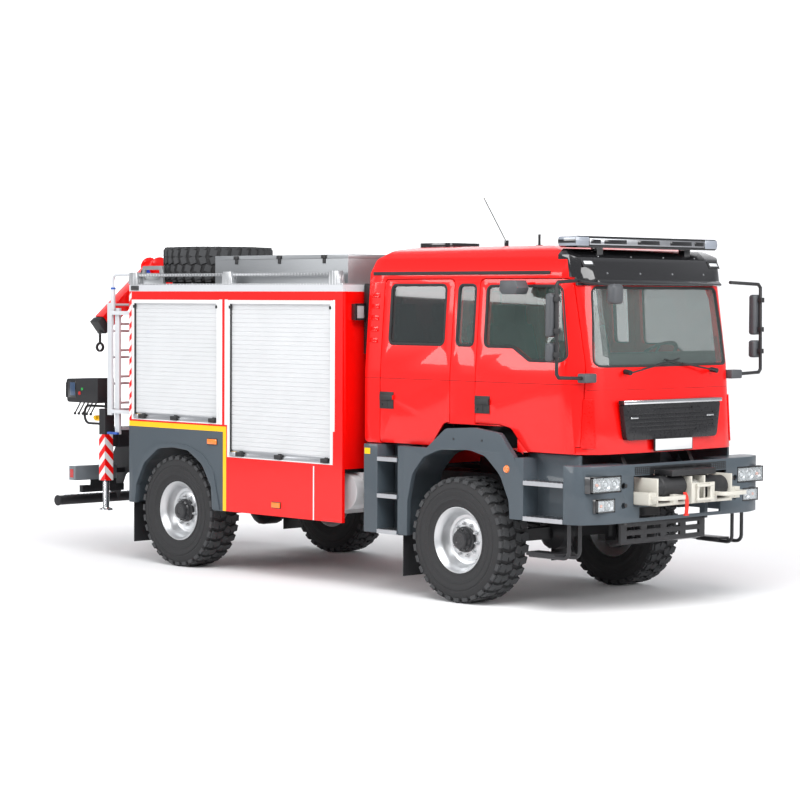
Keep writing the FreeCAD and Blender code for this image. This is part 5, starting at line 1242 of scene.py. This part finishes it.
tube(meshes["crane_lamp_lens"], (-0.61, 5.232, 2.985), (-0.61, 5.224, 2.985), 0.052, 24)
finish_all(meshes, {"crane_lamp_case": (black_plastic, 0.002), "crane_lamp_lens": (lens_blue,)}, "crane_jib")
print("console and crane lamp")

# %% [markdown]
# ## Seats
# Padded cushions: the solid block is remeshed to even cells, then blown up gently by a cloth
# simulation so that the faces bulge between the edges. The movement is capped and then fixed.

# %% Seats
def cushions():
    data = nodes["seats"].data.copy()
    seat = linked("seat_cushions", data)
    data.materials.clear()
    data.materials.append(seat_cloth.material)
    scale = seat.modifiers.new("Even", "REMESH")
    scale.mode = "VOXEL"
    scale.voxel_size = 0.022
    scale.use_smooth_shade = True
    smooth = seat.modifiers.new("Settle", "SMOOTH")
    smooth.iterations = 2
    bpy.context.view_layer.update()
    flat = evaluated(seat)
    seat.modifiers.clear()
    seat.data = flat
    rest = [v.co.copy() for v in flat.vertices]
    cloth = seat.modifiers.new("Cloth", "CLOTH")
    cloth.settings.use_pressure = True
    cloth.settings.uniform_pressure_force = 4.0
    cloth.settings.effector_weights.gravity = 0.0
    cloth.settings.tension_stiffness = 25.0
    cloth.settings.compression_stiffness = 25.0
    cloth.settings.quality = 5
    cloth.point_cache.frame_start = 1
    cloth.point_cache.frame_end = 14
    for step in range(1, 15):
        bpy.context.scene.frame_set(step)
    blown = evaluated(seat)
    seat.modifiers.clear()
    bpy.context.scene.frame_set(1)
    for vert, start, end in zip(flat.vertices, rest, blown.vertices):
        move = end.co - start
        limit = 0.018
        if move.length > limit:
            move *= limit / move.length
        vert.co = start + move
    flat.update()
    for polygon in flat.polygons:
        polygon.use_smooth = True
    round_off = seat.modifiers.new("Round", "SUBSURF")
    round_off.levels = 1
    round_off.render_levels = 1
    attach(seat, "cab")
    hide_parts("seats")
    return seat


cushions()
print("seats")

# %% [markdown]
# ## Stage, light and camera
# A pale floor that bends up behind, large soft lights from above, from the right side and from ahead,
# one on the backdrop, and the view along the truck's right side from ahead.
# A flat floor and a wall would meet in a hard line behind the truck, and the bend leaves none.

# %% The floor
def floor_material():
    graph = Graph("studio_floor")
    shade = graph.noise(0.35)
    graph.set("Base Color", graph.mix(shade, rgb(0.8, 0.8, 0.805), rgb(0.84, 0.84, 0.845)))
    graph.set("Roughness", 0.72)
    return graph


mesh = bmesh.new()
path = [(-26.0, 0.0), (20.0, 0.0), (24.0, 0.5), (27.0, 2.4), (28.5, 6.0), (28.5, 22.0)]
verts = [mesh.verts.new((-60.0, y, z)) for y, z in path]
edges = [mesh.edges.new(pair) for pair in zip(verts[:-1], verts[1:])]
pushed = bmesh.ops.extrude_edge_only(mesh, edges=edges)["geom"]
bmesh.ops.translate(mesh, verts=[v for v in pushed if isinstance(v, bmesh.types.BMVert)], vec=(120.0, 0, 0))
bmesh.ops.rotate(mesh, verts=mesh.verts, cent=(0, 0, 0), matrix=Matrix.Rotation(-0.75, 3, "Z"))
bmesh.ops.recalc_face_normals(mesh, faces=mesh.faces)
data = bpy.data.meshes.new("floor")
mesh.to_mesh(data)
mesh.free()
floor = linked("floor", data)
data.materials.append(floor_material().material)
soften(floor, 0.0, 60)


print("floor ready")

# %% The lights
def lamp(name, place, target, size, power, colour=(1.0, 1.0, 1.0)):
    """A square soft light that faces a point."""
    data = bpy.data.lights.new(name, "AREA")
    data.shape = "RECTANGLE"
    data.size, data.size_y = size
    data.energy = power
    data.color = colour
    light = linked(name, data)
    light.location = place
    light.rotation_euler = (Vector(target) - Vector(place)).to_track_quat("-Z", "Y").to_euler()


lamp("key", (-7.0, -9.0, 13.0), (0, 0, 1.2), (12.0, 10.0), 3000.0)
lamp("side", (-15.0, 6.0, 7.0), (0, 0.5, 1.6), (12.0, 5.0), 1300.0)
lamp("front", (3.0, -16.0, 7.0), (0, -3.0, 1.6), (10.0, 5.0), 1100.0)
lamp("backdrop", (2.0, 14.0, 14.0), (14.0, 24.0, 2.0), (24.0, 6.0), 5200.0)
world = bpy.data.worlds.new("studio")
bpy.context.scene.world = world
world.use_nodes = True
world.node_tree.nodes["Background"].inputs["Color"].default_value = rgb(0.93, 0.95, 1.0)
world.node_tree.nodes["Background"].inputs["Strength"].default_value = 0.45
print("lights ready")

# %% The camera
yaw, pitch, roll = 0.75, -0.047, 0.004
data = bpy.data.cameras.new("camera")
data.sensor_width = 36.0
data.lens = 108.8
data.shift_x = 0.073
data.shift_y = 0.016
camera = linked("camera", data)
camera.location = (-16.65, -17.2, 2.714)
look = Vector((math.sin(yaw) * math.cos(pitch), math.cos(yaw) * math.cos(pitch), math.sin(pitch)))
camera.rotation_euler = (look.to_track_quat("-Z", "Y").to_matrix() @ Matrix.Rotation(roll, 3, "Z")).to_euler()
scene = bpy.context.scene
scene.camera = camera
scene.render.resolution_x = scene.render.resolution_y = 800
scene.view_settings.view_transform = "Standard"
print("camera at", [round(c, 2) for c in camera.location])
